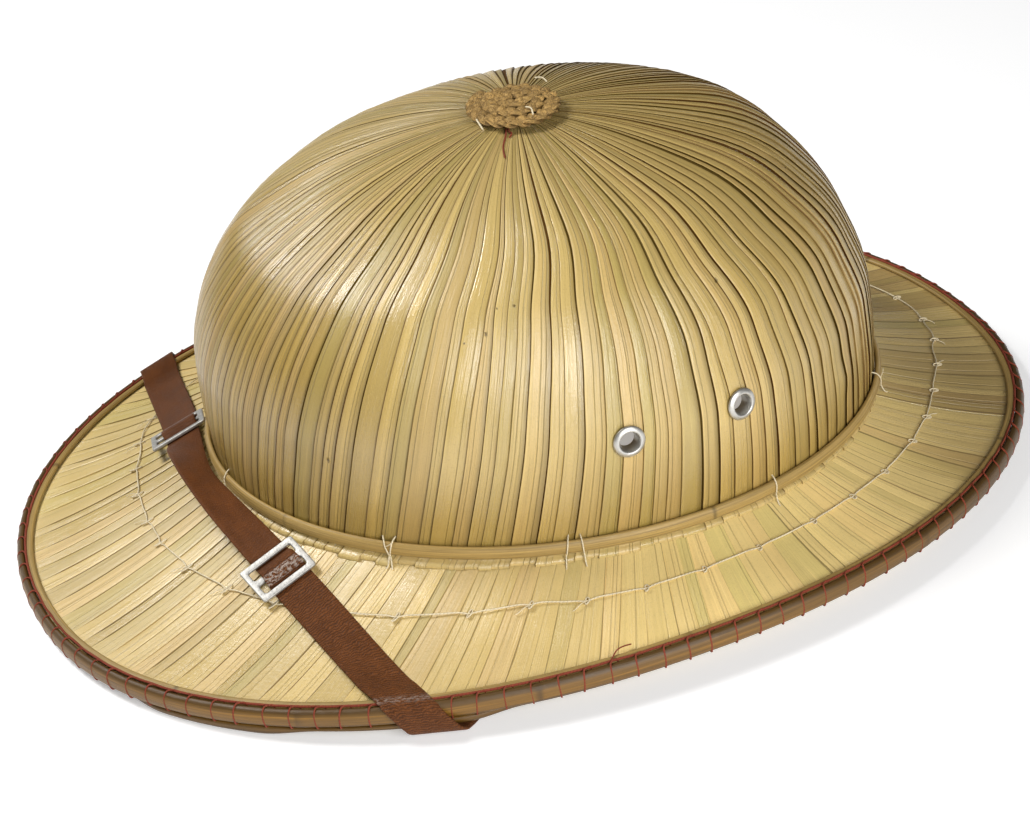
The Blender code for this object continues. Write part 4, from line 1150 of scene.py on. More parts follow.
def foot_section(bearing):
    """Foot hoop: a split strip, rounder on its outer face."""
    back, thick, depth = GAP + 0.0001, FOOT_HOOP_THICKNESS, FOOT_HOOP_HEIGHT
    face = back + thick + 0.0002
    return [
        (back, 0.0), (face - 0.40 * thick, 0.0002), (face, -0.28 * depth),
        (face, -0.62 * depth), (face - 0.15 * thick, -depth), (back, -0.98 * depth),
    ]


def outer_section(bearing):
    """Outer hoop: half-round, chamfered by the split."""
    back, face, depth = 0.5 * GAP, OUTER_HOOP_THICKNESS + 0.0002, OUTER_HOOP_HEIGHT
    return [
        (back, -0.06 * depth), (0.55 * face, 0.04 * depth), (0.96 * face, -0.20 * depth),
        (face, -0.62 * depth), (0.80 * face, -0.96 * depth), (back, -1.02 * depth),
    ]


def rim_slope(bearing):
    """Fall of the brim's upper surface at its edge, against distance outward."""
    near = 1.0 - UNDER_HOOP_WIDTH / brim_width(bearing)
    return (brim_point(bearing, near).z - brim_point(bearing, 1.0).z) / UNDER_HOOP_WIDTH


def top_section(bearing):
    """Top hoop: a thin flat strip."""
    outer, width, thick = -0.5 * GAP, 0.8 * TOP_HOOP_WIDTH, TOP_HOOP_THICKNESS
    inner, rise = outer - width, rim_slope(bearing) * width
    return [
        (inner - 0.0001, rise - thick), (inner + 0.1 * width, rise),
        (outer - 0.2 * width, 0.12 * thick), (outer, -0.1 * thick), (outer, -thick),
    ]


def under_section(bearing):
    """Under hoop: the strip that the helmet stands on, with its lapped stretch."""
    lap = blend(bearing, LAP_START, LAP_FULL_START) - blend(bearing, LAP_FULL_END, LAP_END)
    outer = -0.5 * GAP
    inner = outer - UNDER_HOOP_WIDTH
    ceiling = -TOP_HOOP_THICKNESS - BRIM_WALL - 2.0 * GAP
    clear = -OUTER_HOOP_HEIGHT - 1.3 * GAP
    height = rim_point(bearing).z
    plain = max(0.0, height - UNDER_HOOP_DEPTH)
    lapped = LAP_LIFT * blend(bearing, LAP_LIFT_START, LAP_LIFT_END)
    foot = plain + (min(plain, lapped) - plain) * lap - height
    reach = outer + (LAP_REACH - outer) * lap
    return [
        (inner, ceiling + rim_slope(bearing) * UNDER_HOOP_WIDTH), (outer, ceiling),
        (outer, clear), (reach, clear - GAP * (1.0 - lap) - 0.1 * GAP),
        (reach - 0.0004 * lap, foot), (inner + 0.0002, foot),
    ]


# ---- threads ----
def rim_steps(count):
    """Bearings an even distance apart along the rim."""
    fine = 1440
    lengths = distances([rim_point(TAU * i / fine) for i in range(fine + 1)])
    steps = []
    index = 0
    for i in range(count):
        goal = lengths[-1] * i / count
        while lengths[index + 1] < goal:
            index += 1
        share = (goal - lengths[index]) / (lengths[index + 1] - lengths[index])
        steps.append(TAU * (index + share) / fine)
    return steps


def build_rim_stitching(settings, finish):
    """Red whip stitches round the outer hoop, the thread in the groove and a loose end."""
    dice = random.Random(41)
    bm = bmesh.new()
    radius = 0.5 * settings.red_thickness
    for bearing in rim_steps(settings.stitches):
        place = ring_frame(rim_point, bearing + dice.uniform(-STITCH_SWAY, STITCH_SWAY))
        lean = dice.uniform(-0.0005, 0.0007)
        course = []
        for row in STITCH_COURSE:
            shift = row["along"] * dice.uniform(0.9, 1.1) + lean * row["up"] / OUTER_HOOP_HEIGHT
            course.append(beside(place, row["out"], row["up"], shift))
        size = radius * dice.uniform(0.85, 1.1)
        tube(bm, course, size, tag=dice.random() * 9.0, pieces=2)
    count = 540
    ring = []
    for i in range(count):
        bearing = TAU * i / count
        out = -0.00005 + 0.00026 * noise.noise(vec(bearing * 22.0, 0.0))
        up = 0.00022 + 0.00018 * noise.noise(vec(bearing * 22.0, 7.0))
        ring.append(beside(ring_frame(rim_point, bearing), out, up))
    tube(bm, ring, radius * 1.45, tag=3.0, closed=True)
    course = []
    for row in RED_END:
        place = ring_frame(rim_point, radians(row["bearing"]))
        course.append(beside(place, row["out"], row["up"]))
    tube(bm, course, radius * 0.8, tag=5.0, pieces=4)
    close_up(bm)
    finish_piece("rim_stitching", bm, finish)


def brim_thread_share(bearing):
    """Share of the brim's width where the thread ring lies."""
    first = BRIM_THREAD[0]["bearing"]
    angle = (degrees(bearing) - first) % 360.0 + first
    for one, two in zip(BRIM_THREAD, BRIM_THREAD[1:]):
        if one["bearing"] <= angle <= two["bearing"]:
            share = blend(angle, one["bearing"], two["bearing"])
            return one["share"] + (two["share"] - one["share"]) * share
    return BRIM_THREAD[-1]["share"]


def build_brim_thread(settings, finish):
    """Ring of white thread round the middle of the brim, tied down at knots."""
    dice = random.Random(77)
    bm = bmesh.new()
    radius = 0.5 * settings.white_thickness
    knots = list(BRIM_KNOTS)
    bearing = NEXT_KNOT
    while bearing < BRIM_KNOTS[0] + 360.0 - LAST_KNOT_GAP:
        knots.append(bearing)
        bearing += dice.uniform(*KNOT_SPACING)
    ring = []
    count = 720
    for i in range(count):
        angle = 360.0 * i / count
        bearing = radians(angle)
        near = min(abs(half_turn(angle - knot)) for knot in knots)
        pull = exp(-(near / 0.9) ** 2)
        share = brim_thread_share(bearing) + 0.006 * noise.noise(vec(bearing * 9.0, 0.0))
        ring.append(on_brim(bearing, share + 0.010 * pull, 0.00048 + 0.0003 * (1.0 - pull)))
    tube(bm, ring, radius, closed=True)
    for knot in knots:
        centre = radians(knot)
        share = brim_thread_share(centre) + 0.010
        course = []
        for k in range(11):
            turn = TAU * k / 9.0 + 0.6
            here = centre + 0.00075 * (0.75 + 0.25 * cos(turn)) * cos(turn) / 0.125
            lift = 0.0006 + 0.00035 * sin(turn + 0.8)
            course.append(on_brim(here, share + 0.030 * sin(turn), lift))
        course.append(on_brim(centre + 0.004, share - 0.004, 0.0002))
        tube(bm, course, radius * 0.85, tag=2.0, pieces=2)
        if dice.random() < 0.35:
            lean = dice.choice((-1.0, 1.0))
            tail = []
            for row in KNOT_END:
                tail.append(on_brim(centre + row["turn"] * lean, share + row["share"], row["lift"]))
            tube(bm, tail, radius * 0.55, tag=2.0, pieces=4)
    close_up(bm)
    finish_piece("brim_thread", bm, finish)


def build_hoop_ties(settings, finish):
    """White thread ties over the foot hoop."""
    dice = random.Random(13)
    bm = bmesh.new()
    radius = 0.5 * settings.white_thickness
    for tie in HOOP_TIES:
        for strand in range(dice.choice((1, 2))):
            bearing = radians(tie["bearing"]) + 0.011 * strand
            seat = ring_frame(foot_point, bearing)
            course = []
            for i, row in enumerate(TIE_COURSE):
                shift = tie["lean"] * (1.0 if strand == 0 else -0.6) * (i / 4.0 - 1.0)
                place = beside(seat, row["out"], row["up"], shift)
                if row["up"] < -0.005:
                    place.z = brim_point(*brim_place(place)).z + 0.0006
                course.append(place)
            tube(bm, course, radius * 0.9, tag=strand, pieces=3)
        if dice.random() < 0.6:
            seat = ring_frame(foot_point, radians(tie["bearing"]))
            tail = [beside(seat, row["out"], row["up"], row["along"]) for row in TIE_END]
            tube(bm, tail, radius * 0.6, tag=4.0, pieces=4)
    close_up(bm)
    finish_piece("hoop_ties", bm, finish)


# ---- button ----
def crown_top_height(radius):
    """Height of the crown's top at a distance from its middle."""
    low, high = 0.9, 1.0
    for _ in range(24):
        middle = 0.5 * (low + high)
        if crown_reach(middle) * CROWN_HALF_WIDTH > radius:
            low = middle
        else:
            high = middle
    return crown_point(0.0, low).z


def on_button(turn, radius, lift):
    """A point over the crown's top."""
    centre = vec(0.0, crown_point(0.0, 1.0).y)
    height = crown_top_height(abs(radius)) + GAP + lift
    return centre + vec(radius * cos(turn), radius * sin(turn), height)


def build_button(settings, finish):
    """Braid of three raffia strands coiled from its middle out to its edge."""
    sides, backing_sides, outer = 8, 48, BUTTON_RADIUS - COIL_MARGIN
    coil = []
    angle, radius = 0.0, outer
    while radius > COIL_INNER:
        coil.append((angle + COIL_START, radius * (1.0 + 0.030 * cos(2.0 * angle + 0.9))))
        angle += COIL_STEP / radius
        turns = angle / TAU
        radius = outer - settings.pitch * (turns // 1.0 + blend(turns % 1.0, 0.45, 1.0))
    count = len(coil)
    bm = bmesh.new()
    for strand in range(3):
        spine = []
        for index, (turn, radius) in enumerate(coil):
            phase = TAU * (index * COIL_STEP / settings.plait + strand / 3.0)
            sway = noise.noise(vec(index * COIL_STEP * 180.0, strand * 9.0))
            radius += 0.00125 * sin(phase) + 0.00030 * sway
            lift = 0.0036 - 0.0014 * (radius / BUTTON_RADIUS) ** 2
            lift += 0.00062 * sin(2.0 * phase) + 0.0002 * sway
            spine.append(on_button(turn, radius, lift))

        def place(column, row):
            ahead = (spine[min(row + 1, count - 1)] - spine[max(row - 1, 0)]).normalized()
            side = ahead.cross(vec(0.0, 0.0, 1.0)).normalized()
            turn = TAU * column / sides
            size = 0.0 if row in (0, count - 1) else 1.0
            ruffle = vec(row * COIL_STEP * 500.0, column * 1.7, strand * 4.0)
            size *= 1.0 + 0.22 * noise.noise(ruffle)
            high = side.cross(ahead) * (0.00062 * sin(turn))
            return spine[row] + (side * (0.00172 * cos(turn)) + high) * size

        def facts(column, row):
            # The third value's fraction grows where the strand dips under the others, for the
            # painted shade there.
            dip = sin(2.0 * TAU * (row * COIL_STEP / settings.plait + strand / 3.0))
            return row * COIL_STEP, column / sides, strand + 0.45 - 0.45 * dip

        lay_grid(bm, sides, count - 1, place, facts)

    def backing(column, row):
        radius = BUTTON_BACKING[row]["radius"] * (BUTTON_RADIUS - 0.0010)
        return on_button(TAU * column / backing_sides, radius, BUTTON_BACKING[row]["lift"])

    def backing_facts(column, row):
        return column * 0.002, row / 6.0, BACKING_TAG

    lay_grid(bm, backing_sides, len(BUTTON_BACKING) - 1, backing, backing_facts)
    close_up(bm)
    finish_piece("braid_button", bm, finish, "top_button")


def build_button_threads(settings, finishes):
    """Ends of red and white thread that hang out under the button."""
    middle = crown_point(0.0, 1.0).y
    for name, lines in BUTTON_THREADS.items():
        bm = bmesh.new()
        for line in lines:
            course = [vec(x, y, crown_top_height(hypot(x, y - middle)) + z) for x, y, z in line]
            tube(bm, course, 0.5 * settings.red_thickness, tag=2.0, pieces=5)
        close_up(bm)
        finish_piece(f"button_thread_{name}", bm, finishes[name])


# ---- metal ----
def build_turned(name, profile, steps, place, axis, finish, node):
    """Spin a closed profile of radius and height rows about an axis, as a nickel piece."""
    bm = bmesh.new()
    verts = [bm.verts.new((radius, 0.0, height)) for radius, height in profile]
    edges = [bm.edges.new((one, two)) for one, two in zip(verts, verts[1:] + verts[:1])]
    bmesh.ops.spin(
        bm, geom=verts + edges, cent=vec(0.0, 0.0), axis=vec(0.0, 0.0, 1.0), angle=TAU,
        steps=steps, use_merge=True,
    )
    turn = Matrix.Translation(place) @ axis.to_track_quat("Z", "Y").to_matrix().to_4x4()
    bmesh.ops.transform(bm, matrix=turn, verts=bm.verts)
    close_up(bm)
    finish_piece(name, bm, finish, node, 50.0)


def arc_rows(radius, height, wide, high, end):
    """Rows round a rounded lip, from 0 degrees to end."""
    angles = [radians(end * i / 8) for i in range(9)]
    return [(radius + wide * cos(angle), height + high * sin(angle)) for angle in angles]


def build_eyelets(finish):
    """Vent eyelets with a rolled lip outside and a clinched flange inside."""
    base, back = EYELET_SEAT + GAP, -CROWN_WALL - EYELET_BACK_CLEARANCE
    flange = 0.5 * (EYELET_BACK_RADIUS - EYELET_BORE)
    profile = [(row["radius"] * EYELET_RADIUS, base + row["height"]) for row in EYELET_LIP]
    profile += [(EYELET_BORE + 0.0001, -0.0009), (EYELET_BORE, -0.0020)]
    profile += arc_rows(EYELET_BORE + flange, back, -flange, -0.0006, 180.0)
    profile += [(EYELET_BARREL, back), (EYELET_BARREL, base - 0.0003)]
    for name, place, axis in eyelet_places():
        build_turned(f"vent_eyelet_{name}", profile, 56, place, axis, finish, f"eyelet_{name}")


def build_sliders(settings, finish):
    """Cast three-bar sliders with rounded bars."""
    outer, end, bar = 0.5 * SLIDER_SPAN, 0.5 * SLIDER_LENGTH, 1.15 * SLIDER_BAR
    inner = outer - SLIDER_RAIL
    xs = [-outer, -inner, inner, outer]
    ys = [-end, bar - end, -0.5 * bar, 0.5 * bar, end - bar, end]
    for name, sign in SIDES.items():
        place, ahead, normal = run_at(strap_half(name), SLIDER_PLACES[name])
        place = place + ahead.cross(normal) * SLIDER_SHIFT
        flip = vec(sign, 1.0, 1.0)
        place, ahead, normal = place * flip, ahead * flip, normal * flip
        bm = bmesh.new()
        bmesh.ops.create_grid(bm, x_segments=3, y_segments=5, size=1.0)
        for vert in bm.verts:
            vert.co.x = xs[round((vert.co.x + 1.0) * 1.5)]
            vert.co.y = ys[round((vert.co.y + 1.0) * 2.5)]
        windows = []
        for face in bm.faces:
            middle = face.calc_center_median()
            if abs(middle.x) < inner and 0.5 * bar < abs(middle.y) < end - bar:
                windows.append(face)
        bmesh.ops.delete(bm, geom=windows, context="FACES")
        grown = bmesh.ops.extrude_face_region(bm, geom=bm.faces[:])
        raised = [item for item in grown["geom"] if isinstance(item, bmesh.types.BMVert)]
        bmesh.ops.translate(bm, verts=raised, vec=(0.0, 0.0, SLIDER_THICKNESS))
        bmesh.ops.translate(bm, verts=bm.verts, vec=(0.0, 0.0, -0.5 * SLIDER_THICKNESS))
        corners = []
        for edge in bm.edges:
            if abs(edge.verts[0].co.z - edge.verts[1].co.z) > 0.5 * SLIDER_THICKNESS:
                corners.append(edge)
        bmesh.ops.recalc_face_normals(bm, faces=bm.faces)
        common = {"profile": 0.5, "affect": "EDGES", "material": -1}
        bmesh.ops.bevel(bm, geom=corners, offset=SLIDER_CORNER * 0.55, segments=4, **common)
        rims = []
        for edge in bm.edges:
            if edge.is_manifold and edge.calc_face_angle() > radians(60):
                rims.append(edge)
        bmesh.ops.bevel(
            bm, geom=rims, offset=settings.bevel, segments=3, clamp_overlap=True, **common
        )
        turn = Matrix((ahead.cross(normal), ahead, normal)).transposed().to_4x4()
        seat = Matrix.Translation(place + normal * 0.5 * SLIDER_WAVE) @ turn
        bmesh.ops.transform(bm, matrix=seat, verts=bm.verts)
        bmesh.ops.recalc_face_normals(bm, faces=bm.faces)
        finish_piece(f"strap_slider_{name}", bm, finish, f"slider_{name}", 40.0)


def build_pins(finish):
    """Domed pins that hold the strap's ends inside the crown."""
    half = strap_half("left")
    end = distances([place for place, _ in half])[-1]
    place, _, normal = run_at(half, end - STRAP_END_LENGTH + STRAP_PIN_LENGTH)
    head = 0.5 * STRAP_THICKNESS + GAP
    tip = -0.5 * STRAP_THICKNESS - STRAP_WALL_GAP - CROWN_WALL + GAP
    profile = [(0.0, tip), (PIN_RADIUS, tip), (PIN_RADIUS, head)]
    profile += arc_rows(0.0, head, PIN_HEAD_RADIUS, PIN_HEAD, 90.0)
    for name, sign in SIDES.items():
        flip = vec(sign, 1.0, 1.0)
        place_here, axis = place * flip, normal * flip
        node = f"strap_pin_{name}"
        build_turned(f"strap_end_pin_{name}", profile, 32, place_here, axis, finish, node)


# ---- strap ----
# A run of the strap is a list of (place, across): a point of its middle line and the
# straight line across the leather there, which is slanted where the strap rounds an edge.
def bow_point(angle):
    """Plan of the strap's middle line where it bears on the foot hoop."""
    x = STRAP_BOW_HALF_WIDTH * sin(angle)
    return Vector((x, CROWN_CENTRE_Y - STRAP_BOW_HALF_LENGTH * cos(angle)))


def strap_rim_frame():
    """Thread-line point where the strap crosses the rim, with its outward, along and up axes."""
    step = 0.002
    along = rim_point(STRAP_RIM_BEARING + step) - rim_point(STRAP_RIM_BEARING - step)
    along.normalize()
    out = outward(rim_point, STRAP_RIM_BEARING)
    return rim_point(STRAP_RIM_BEARING), out, along, out.cross(along)


def strap_top_plans(name):
    """Plan of the stretch on the brim: round the foot hoop, then in an easy curve to the rim."""
    turn = STRAP_BOW_ENDS[name]
    start, end = bow_point(turn), strap_rim_frame()[0].to_2d()
    length = (end - start).length
    pull = Vector((STRAP_BOW_HALF_WIDTH * cos(turn), STRAP_BOW_HALF_LENGTH * sin(turn)))
    pull = (pull.normalized() - (end - start) / length) * length * STRAP_BOW_PULL
    bow_count, count = round(start.x / STRAP_STEP), round(length / STRAP_STEP)
    plans = [bow_point(turn * i / bow_count) for i in range(bow_count)]
    for i in range(count + 1):
        share = i / count * (1.0 - STRAP_TOP_STOP / length)
        plans.append(start.lerp(end, share) + pull * share * (1.0 - share) ** 2)
    return plans


def strap_top_run(name):
    """The stretch on the brim, from the front middle to short of the rim, drawn on the left."""
    along = strap_rim_frame()[2]
    plans = strap_top_plans(name)
    last = plans[-1].x
    run = []
    for i, plan in enumerate(plans):
        ahead = plans[min(i + 1, len(plans) - 1)] - plans[i - 1] if i else Vector((1.0, 0.0))
        ahead = ahead.normalized().to_3d()
        # Share of the lift that takes the strap's outer edge off the brim.
        raised = blend(SIDES[name] * plan.x, STRAP_RAISE_START, STRAP_RAISE_PEAK)
        raised -= blend(SIDES[name] * plan.x, STRAP_RAISE_PEAK, STRAP_RAISE_END)
        bearing, share = brim_place(plan)
        reach = share * brim_width(bearing) - 0.5 * STRAP_WIDTH
        lift = STRAP_LIFT + STRAP_TAB_LIFT * (1.0 - blend(reach, 0.002, 0.012))
        normal = brim_normal(bearing, share)
        flat = ahead.cross(normal).normalized()
        edge = on_brim(bearing, share, lift + STRAP_RAISE_LIFT * raised) - flat * 0.5 * STRAP_WIDTH
        tilt = STRAP_RAISE * raised
        across = flat * cos(tilt) + flat.cross(ahead) * sin(tilt)
        slant = blend(plan.x, last - 0.028, last - 0.003)
        place = edge + across * 0.5 * STRAP_WIDTH
        run.append((place, across.lerp(-along, slant).normalized()))
    return run, (plans[-1] - plans[-2]).normalized()


def slanted_run(rows, travel, place, out, up, along, slant):
    """A run through rows of outward and up, which drifts sideways as it goes."""
    rows = [Vector((row["out"], row["up"])) for row in rows]
    run = []
    for row, length in zip(rows, distances(rows)):
        drift = along * slant * (travel + length)
        run.append((place + out * row.x + up * row.y + drift, -along))
    return run


def strap_wrap_run(heading):
    """The turn round the rim hoops, and the plan direction in which it leaves."""
    place, out, along, up = strap_rim_frame()
    slant = heading.dot(along.to_2d().normalized()) / heading.dot(out.to_2d())
    run = slanted_run(STRAP_WRAP, STRAP_WRAP[0]["out"], place, out, up, along, slant)
    return run, (along * slant - out).to_2d().normalized()


def strap_knee_run(start, leave):
    """The slack stretch under the brim and its turn round the crown's lower edge."""
    half_width, half_length = CROWN_HALF_WIDTH - CROWN_WALL, CROWN_HALF_LENGTH - CROWN_WALL
    plan = start[0].to_2d()
    while hypot(plan.x / half_width, (plan.y - CROWN_CENTRE_Y) / half_length) > 1.0:
        plan += leave * 0.0001
    bearing = foot_bearing(plan)
    edge = brim_point(bearing, -CROWN_WALL / brim_width(bearing), BRIM_WALL)
    _, side, along = ring_frame(foot_point, bearing)
    slant = leave.dot(along.to_2d()) / -leave.dot(side.to_2d())
    place, up = vec(plan.x, plan.y, edge.z), vec(0.0, 0.0, 1.0)
    knee = slanted_run(STRAP_KNEE, -STRAP_KNEE[0]["out"], place, side, up, along, slant)
    span = []
    for i in range(1, STRAP_SPAN_ROWS):
        share = i / STRAP_SPAN_ROWS
        across = start[1].lerp(knee[0][1], share).normalized()
        span.append((start[0].lerp(knee[0][0], share), across))
    return span + knee, slant


def strap_wall_run(start, slant):
    """The climb up the crown's inner wall to the pinned end."""
    bearing, climb = foot_bearing(start), 1.0 / hypot(1.0, slant)
    inset = CROWN_WALL + STRAP_WALL_GAP + 0.5 * STRAP_THICKNESS
    step = 0.01
    ahead = foot_point(bearing + step, inset) - foot_point(bearing, inset)
    turn_rate = ahead.to_2d().length / step
    run = []
    for i in range(1, STRAP_WALL_ROWS + 1):
        length = STRAP_END_LENGTH * i / STRAP_WALL_ROWS
        here = bearing + slant * climb * length / turn_rate
        foot, along = foot_point(here, inset), ring_frame(foot_point, here)[2]
        place = vec(foot.x, foot.y, start.z + climb * length)
        run.append((place, (vec(0.0, 0.0, slant) - along).normalized()))
    return run


def strap_half(name):
    """Half of the strap, from the front middle to its end, on the left and without its slider."""
    top, heading = strap_top_run(name)
    wrap, leave = strap_wrap_run(heading)
    knee, slant = strap_knee_run(wrap[-1], leave)
    run = top + wrap + knee + strap_wall_run(knee[-1][0], slant)
    eased = list(run)
    for i in range(1, len(run) - 1):
        place = run[i][0] * 0.6 + (run[i - 1][0] + run[i + 1][0]) * 0.2
        across = run[i][1] * 0.5 + (run[i - 1][1] + run[i + 1][1]) * 0.25
        eased[i] = (place, across.normalized())
    return eased


def run_at(run, distance):
    """Place, direction ahead and normal of the leather at a distance along a run."""
    lengths = distances([place for place, _ in run])
    index = max(i for i, length in enumerate(lengths[:-1]) if length <= distance)
    share = (distance - lengths[index]) / (lengths[index + 1] - lengths[index])
    (one, first), (two, second) = run[index], run[index + 1]
    ahead = (two - one).normalized()
    return one.lerp(two, share), ahead, first.lerp(second, share).cross(ahead).normalized()


def with_slider(run, distance):
    """Run the strap under the slider's end bars and over its middle bar."""
    lengths = distances([place for place, _ in run])
    reach = 0.5 * SLIDER_LENGTH
    clear = reach + SLIDER_EASE
    before = [pair for pair, length in zip(run, lengths) if length < distance - clear]
    after = [pair for pair, length in zip(run, lengths) if length > distance + clear]
    place, ahead, normal = run_at(run, distance)
    rows = []
    for i in range(-5, 6):
        offset = reach * i / 5.0
        wave = SLIDER_WAVE * (1.0 - blend(abs(offset), SLIDER_WAVE_START, SLIDER_WAVE_END))
        rows.append((place + ahead * offset + normal * wave, ahead.cross(normal)))
    return before + rows + after


def strap_stations():
    """The whole strap as closely spaced stations, and the station of its front middle."""
    runs, widths, pieces = {}, {}, 6
    for name, middle in SLIDER_PLACES.items():
        runs[name] = with_slider(strap_half(name), middle)
        widths[name] = []
        for length in distances([place for place, _ in runs[name]]):
            past = blend(length, middle - 0.5 * SLIDER_LENGTH, middle + 0.5 * SLIDER_LENGTH)
            width = STRAP_WIDTH + (STRAP_END_WIDTHS[name] - STRAP_WIDTH) * past
            widths[name].append(vec(width, 0.0))
    flip = vec(-1.0, 1.0, 1.0)
    run = [(place * flip, across * flip) for place, across in runs["right"][:0:-1]] + runs["left"]
    places = smooth_line([place for place, _ in run], pieces)
    sides = smooth_line([across for _, across in run], pieces)
    spans = smooth_line(widths["right"][:0:-1] + widths["left"], pieces)
    stations = list(zip(places, [side.normalized() for side in sides], [span.x for span in spans]))
    return stations, (len(runs["right"]) - 1) * pieces


def leather_grain(distance, bend):
    """Kind of grain at a distance from the front middle: 0 smooth, 1 cross-grained, 2 cracked."""
    past = distance - SLIDER_PLACES["left"]
    coarse = blend(past, 0.004, 0.008)
    slot_crack = blend(past, 0.0002, 0.0022) - blend(past, 0.0050, 0.0058)
    bend_crack = exp(-((distance - bend) / 0.0024) ** 2)
    return coarse + slot_crack * 1.9 * (1.0 - 0.5 * coarse) + bend_crack * 0.55


def strap_outline(width, edge):
    """Across and up of each point of the strap's section, round its edges."""
    flats, thick, inner = 12, 0.5 * STRAP_THICKNESS, 0.5 * width - edge
    points = []
    for face in (1.0, -1.0):
        for i in range(flats + 1):
            points.append((face * (inner - 2.0 * inner * i / flats), face * thick))
        for out, up in ((0.7, 0.72), (1.0, 0.0), (0.7, -0.72)):
            points.append((-face * (inner + edge * out), face * thick * up))
    return points


def build_strap(settings, finish):
    """One leather band: over the front brim, round both sides of the rim, up inside the crown."""
    stations, front = strap_stations()
    lengths = distances([place for place, _, _ in stations])
    crest = strap_rim_frame()[0]
    bend = min(range(front, len(stations)), key=lambda i: (stations[i][0] - crest).length)
    bend = lengths[bend] - lengths[front]
    frames = []
    for i, (place, across, width) in enumerate(stations):
        ahead = stations[min(i + 1, len(stations) - 1)][0] - stations[max(i - 1, 0)][0]
        normal = across.cross(ahead.normalized())
        outline = strap_outline(width, settings.edge)
        frames.append((place, across / normal.length, normal.normalized(), outline))
    count = len(frames[0][3])

    def place_at(column, row):
        place, across, normal, outline = frames[min(max(row - 1, 0), len(frames) - 1)]
        if row in (0, len(frames) + 1):
            return place
        wide, high = outline[column % count]
        return place + across * wide + normal * high

    def facts(column, row):
        index = min(max(row - 1, 0), len(frames) - 1)
        distance = lengths[index] - lengths[front]
        wide, high = frames[index][3][column % count]
        return distance, wide + (0.02 if high < 0.0 else 0.0), leather_grain(distance, bend)

    bm = bmesh.new()
    lay_grid(bm, count, len(frames) + 1, place_at, facts)
    close_up(bm)
    finish_piece("strap_band", bm, finish, "strap", 55.0)


# ---- operators ----
class HELMET_OT_leaf_crown(bpy.types.Operator):
    """Lay the crown's leaf strips over its frame"""

    bl_idname = "helmet.leaf_crown"
    bl_label = "Leaf crown"

    def execute(self, context):
        leaf = context.scene.helmet_leaf
        finish = leaf_finish(
            "crown_leaf", leaf.crown_colour[:], leaf.gap_colour[:], leaf.crown_strips,
            fibre_count=8.0, specks=CROWN_SPECKS, line_width=0.052, tuck=1.0,
        )
        build_leaf_crown(leaf, finish)
        return {"FINISHED"}


class HELMET_OT_leaf_brim(bpy.types.Operator):
    """Lay the brim's leaf strips over its frame"""

    bl_idname = "helmet.leaf_brim"
    bl_label = "Leaf brim"

    def execute(self, context):
        leaf = context.scene.helmet_leaf
        finish = leaf_finish(
            "brim_leaf", leaf.brim_colour[:], leaf.gap_colour[:], leaf.brim_strips,
            fibre_count=12.0, specks=(), line_width=0.030, tuck=0.0,
        )
        build_leaf_brim(leaf, finish)
        return {"FINISHED"}


class HELMET_OT_bamboo_hoops(bpy.types.Operator):
    """Bend the split-bamboo hoops round the crown's foot and the rim"""

    bl_idname = "helmet.bamboo_hoops"
    bl_label = "Bamboo hoops"

    def execute(self, context):
        bamboo = context.scene.helmet_bamboo
        foot, rim, rind = bamboo.foot_colour[:], bamboo.rim_colour[:], bamboo.rind_colour[:]
        golden = bamboo_finish("golden_bamboo", foot, shade(foot, 0.62), 0.30)
        pale = bamboo_finish("pale_bamboo", shade(foot, 0.88), shade(foot, 0.5), 0.35)
        tan = bamboo_finish("olive_bamboo", rim, rind, 0.50)
        dark = bamboo_finish("dark_bamboo", shade(rim, 0.9), rind, 0.70)
        for name, line, section, nodes, finish, node in (
            ("foot_hoop", foot_point, foot_section, "foot", golden, "crown_hoop"),
            ("rim_top_strip", rim_point, top_section, "top", pale, "rim_hoop_top"),
            ("rim_outer_strip", rim_point, outer_section, "outer", tan, "rim_hoop_outer"),
            ("rim_under_strip", rim_point, under_section, "under", dark, "rim_hoop_under"),
        ):
            swell_height = bamboo.node_swell if nodes in ("foot", "outer") else 0.0
            build_hoop(name, line, section, HOOP_NODES[nodes], finish, node, swell_height)
        return {"FINISHED"}


class HELMET_OT_threads(bpy.types.Operator):
    """Sew the rim, and lay the brim's thread ring and the foot hoop's ties"""

    bl_idname = "helmet.threads"
    bl_label = "Threads"

    def execute(self, context):
        thread = context.scene.helmet_thread
        red = thread_finish("red_thread", thread.red_colour[:], 900.0)
        white = thread_finish("white_thread", thread.white_colour[:], 800.0)
        build_rim_stitching(thread, red)
        build_brim_thread(thread, white)
        build_hoop_ties(thread, white)
        build_button_threads(thread, {"red": red, "white": white})
        return {"FINISHED"}


class HELMET_OT_button(bpy.types.Operator):
    """Coil the braided button on the crown's top"""

    bl_idname = "helmet.button"
    bl_label = "Braided button"

    def execute(self, context):
        button = context.scene.helmet_button
        build_button(button, raffia_finish("plaited_raffia", button.colour[:]))
        return {"FINISHED"}


class HELMET_OT_metal(bpy.types.Operator):
    """Make the vent eyelets, the strap's sliders and its end pins"""

    bl_idname = "helmet.metal"
    bl_label = "Metal fittings"

    def execute(self, context):
        metal = context.scene.helmet_metal
        smooth = metal_finish("nickel_sheet", metal.colour[:], 0.10)
        build_eyelets(smooth)
        build_sliders(metal, metal_finish("nickel_cast", shade(metal.colour[:], 0.78), 0.70))
        build_pins(smooth)
        return {"FINISHED"}


class HELMET_OT_strap(bpy.types.Operator):
    """Run the leather strap over the brim and round the rim"""

    bl_idname = "helmet.strap"
    bl_label = "Leather strap"

    def execute(self, context):
        strap = context.scene.helmet_strap
        build_strap(strap, leather_finish("strap_leather", strap.colour[:], strap.worn_colour[:]))
        return {"FINISHED"}


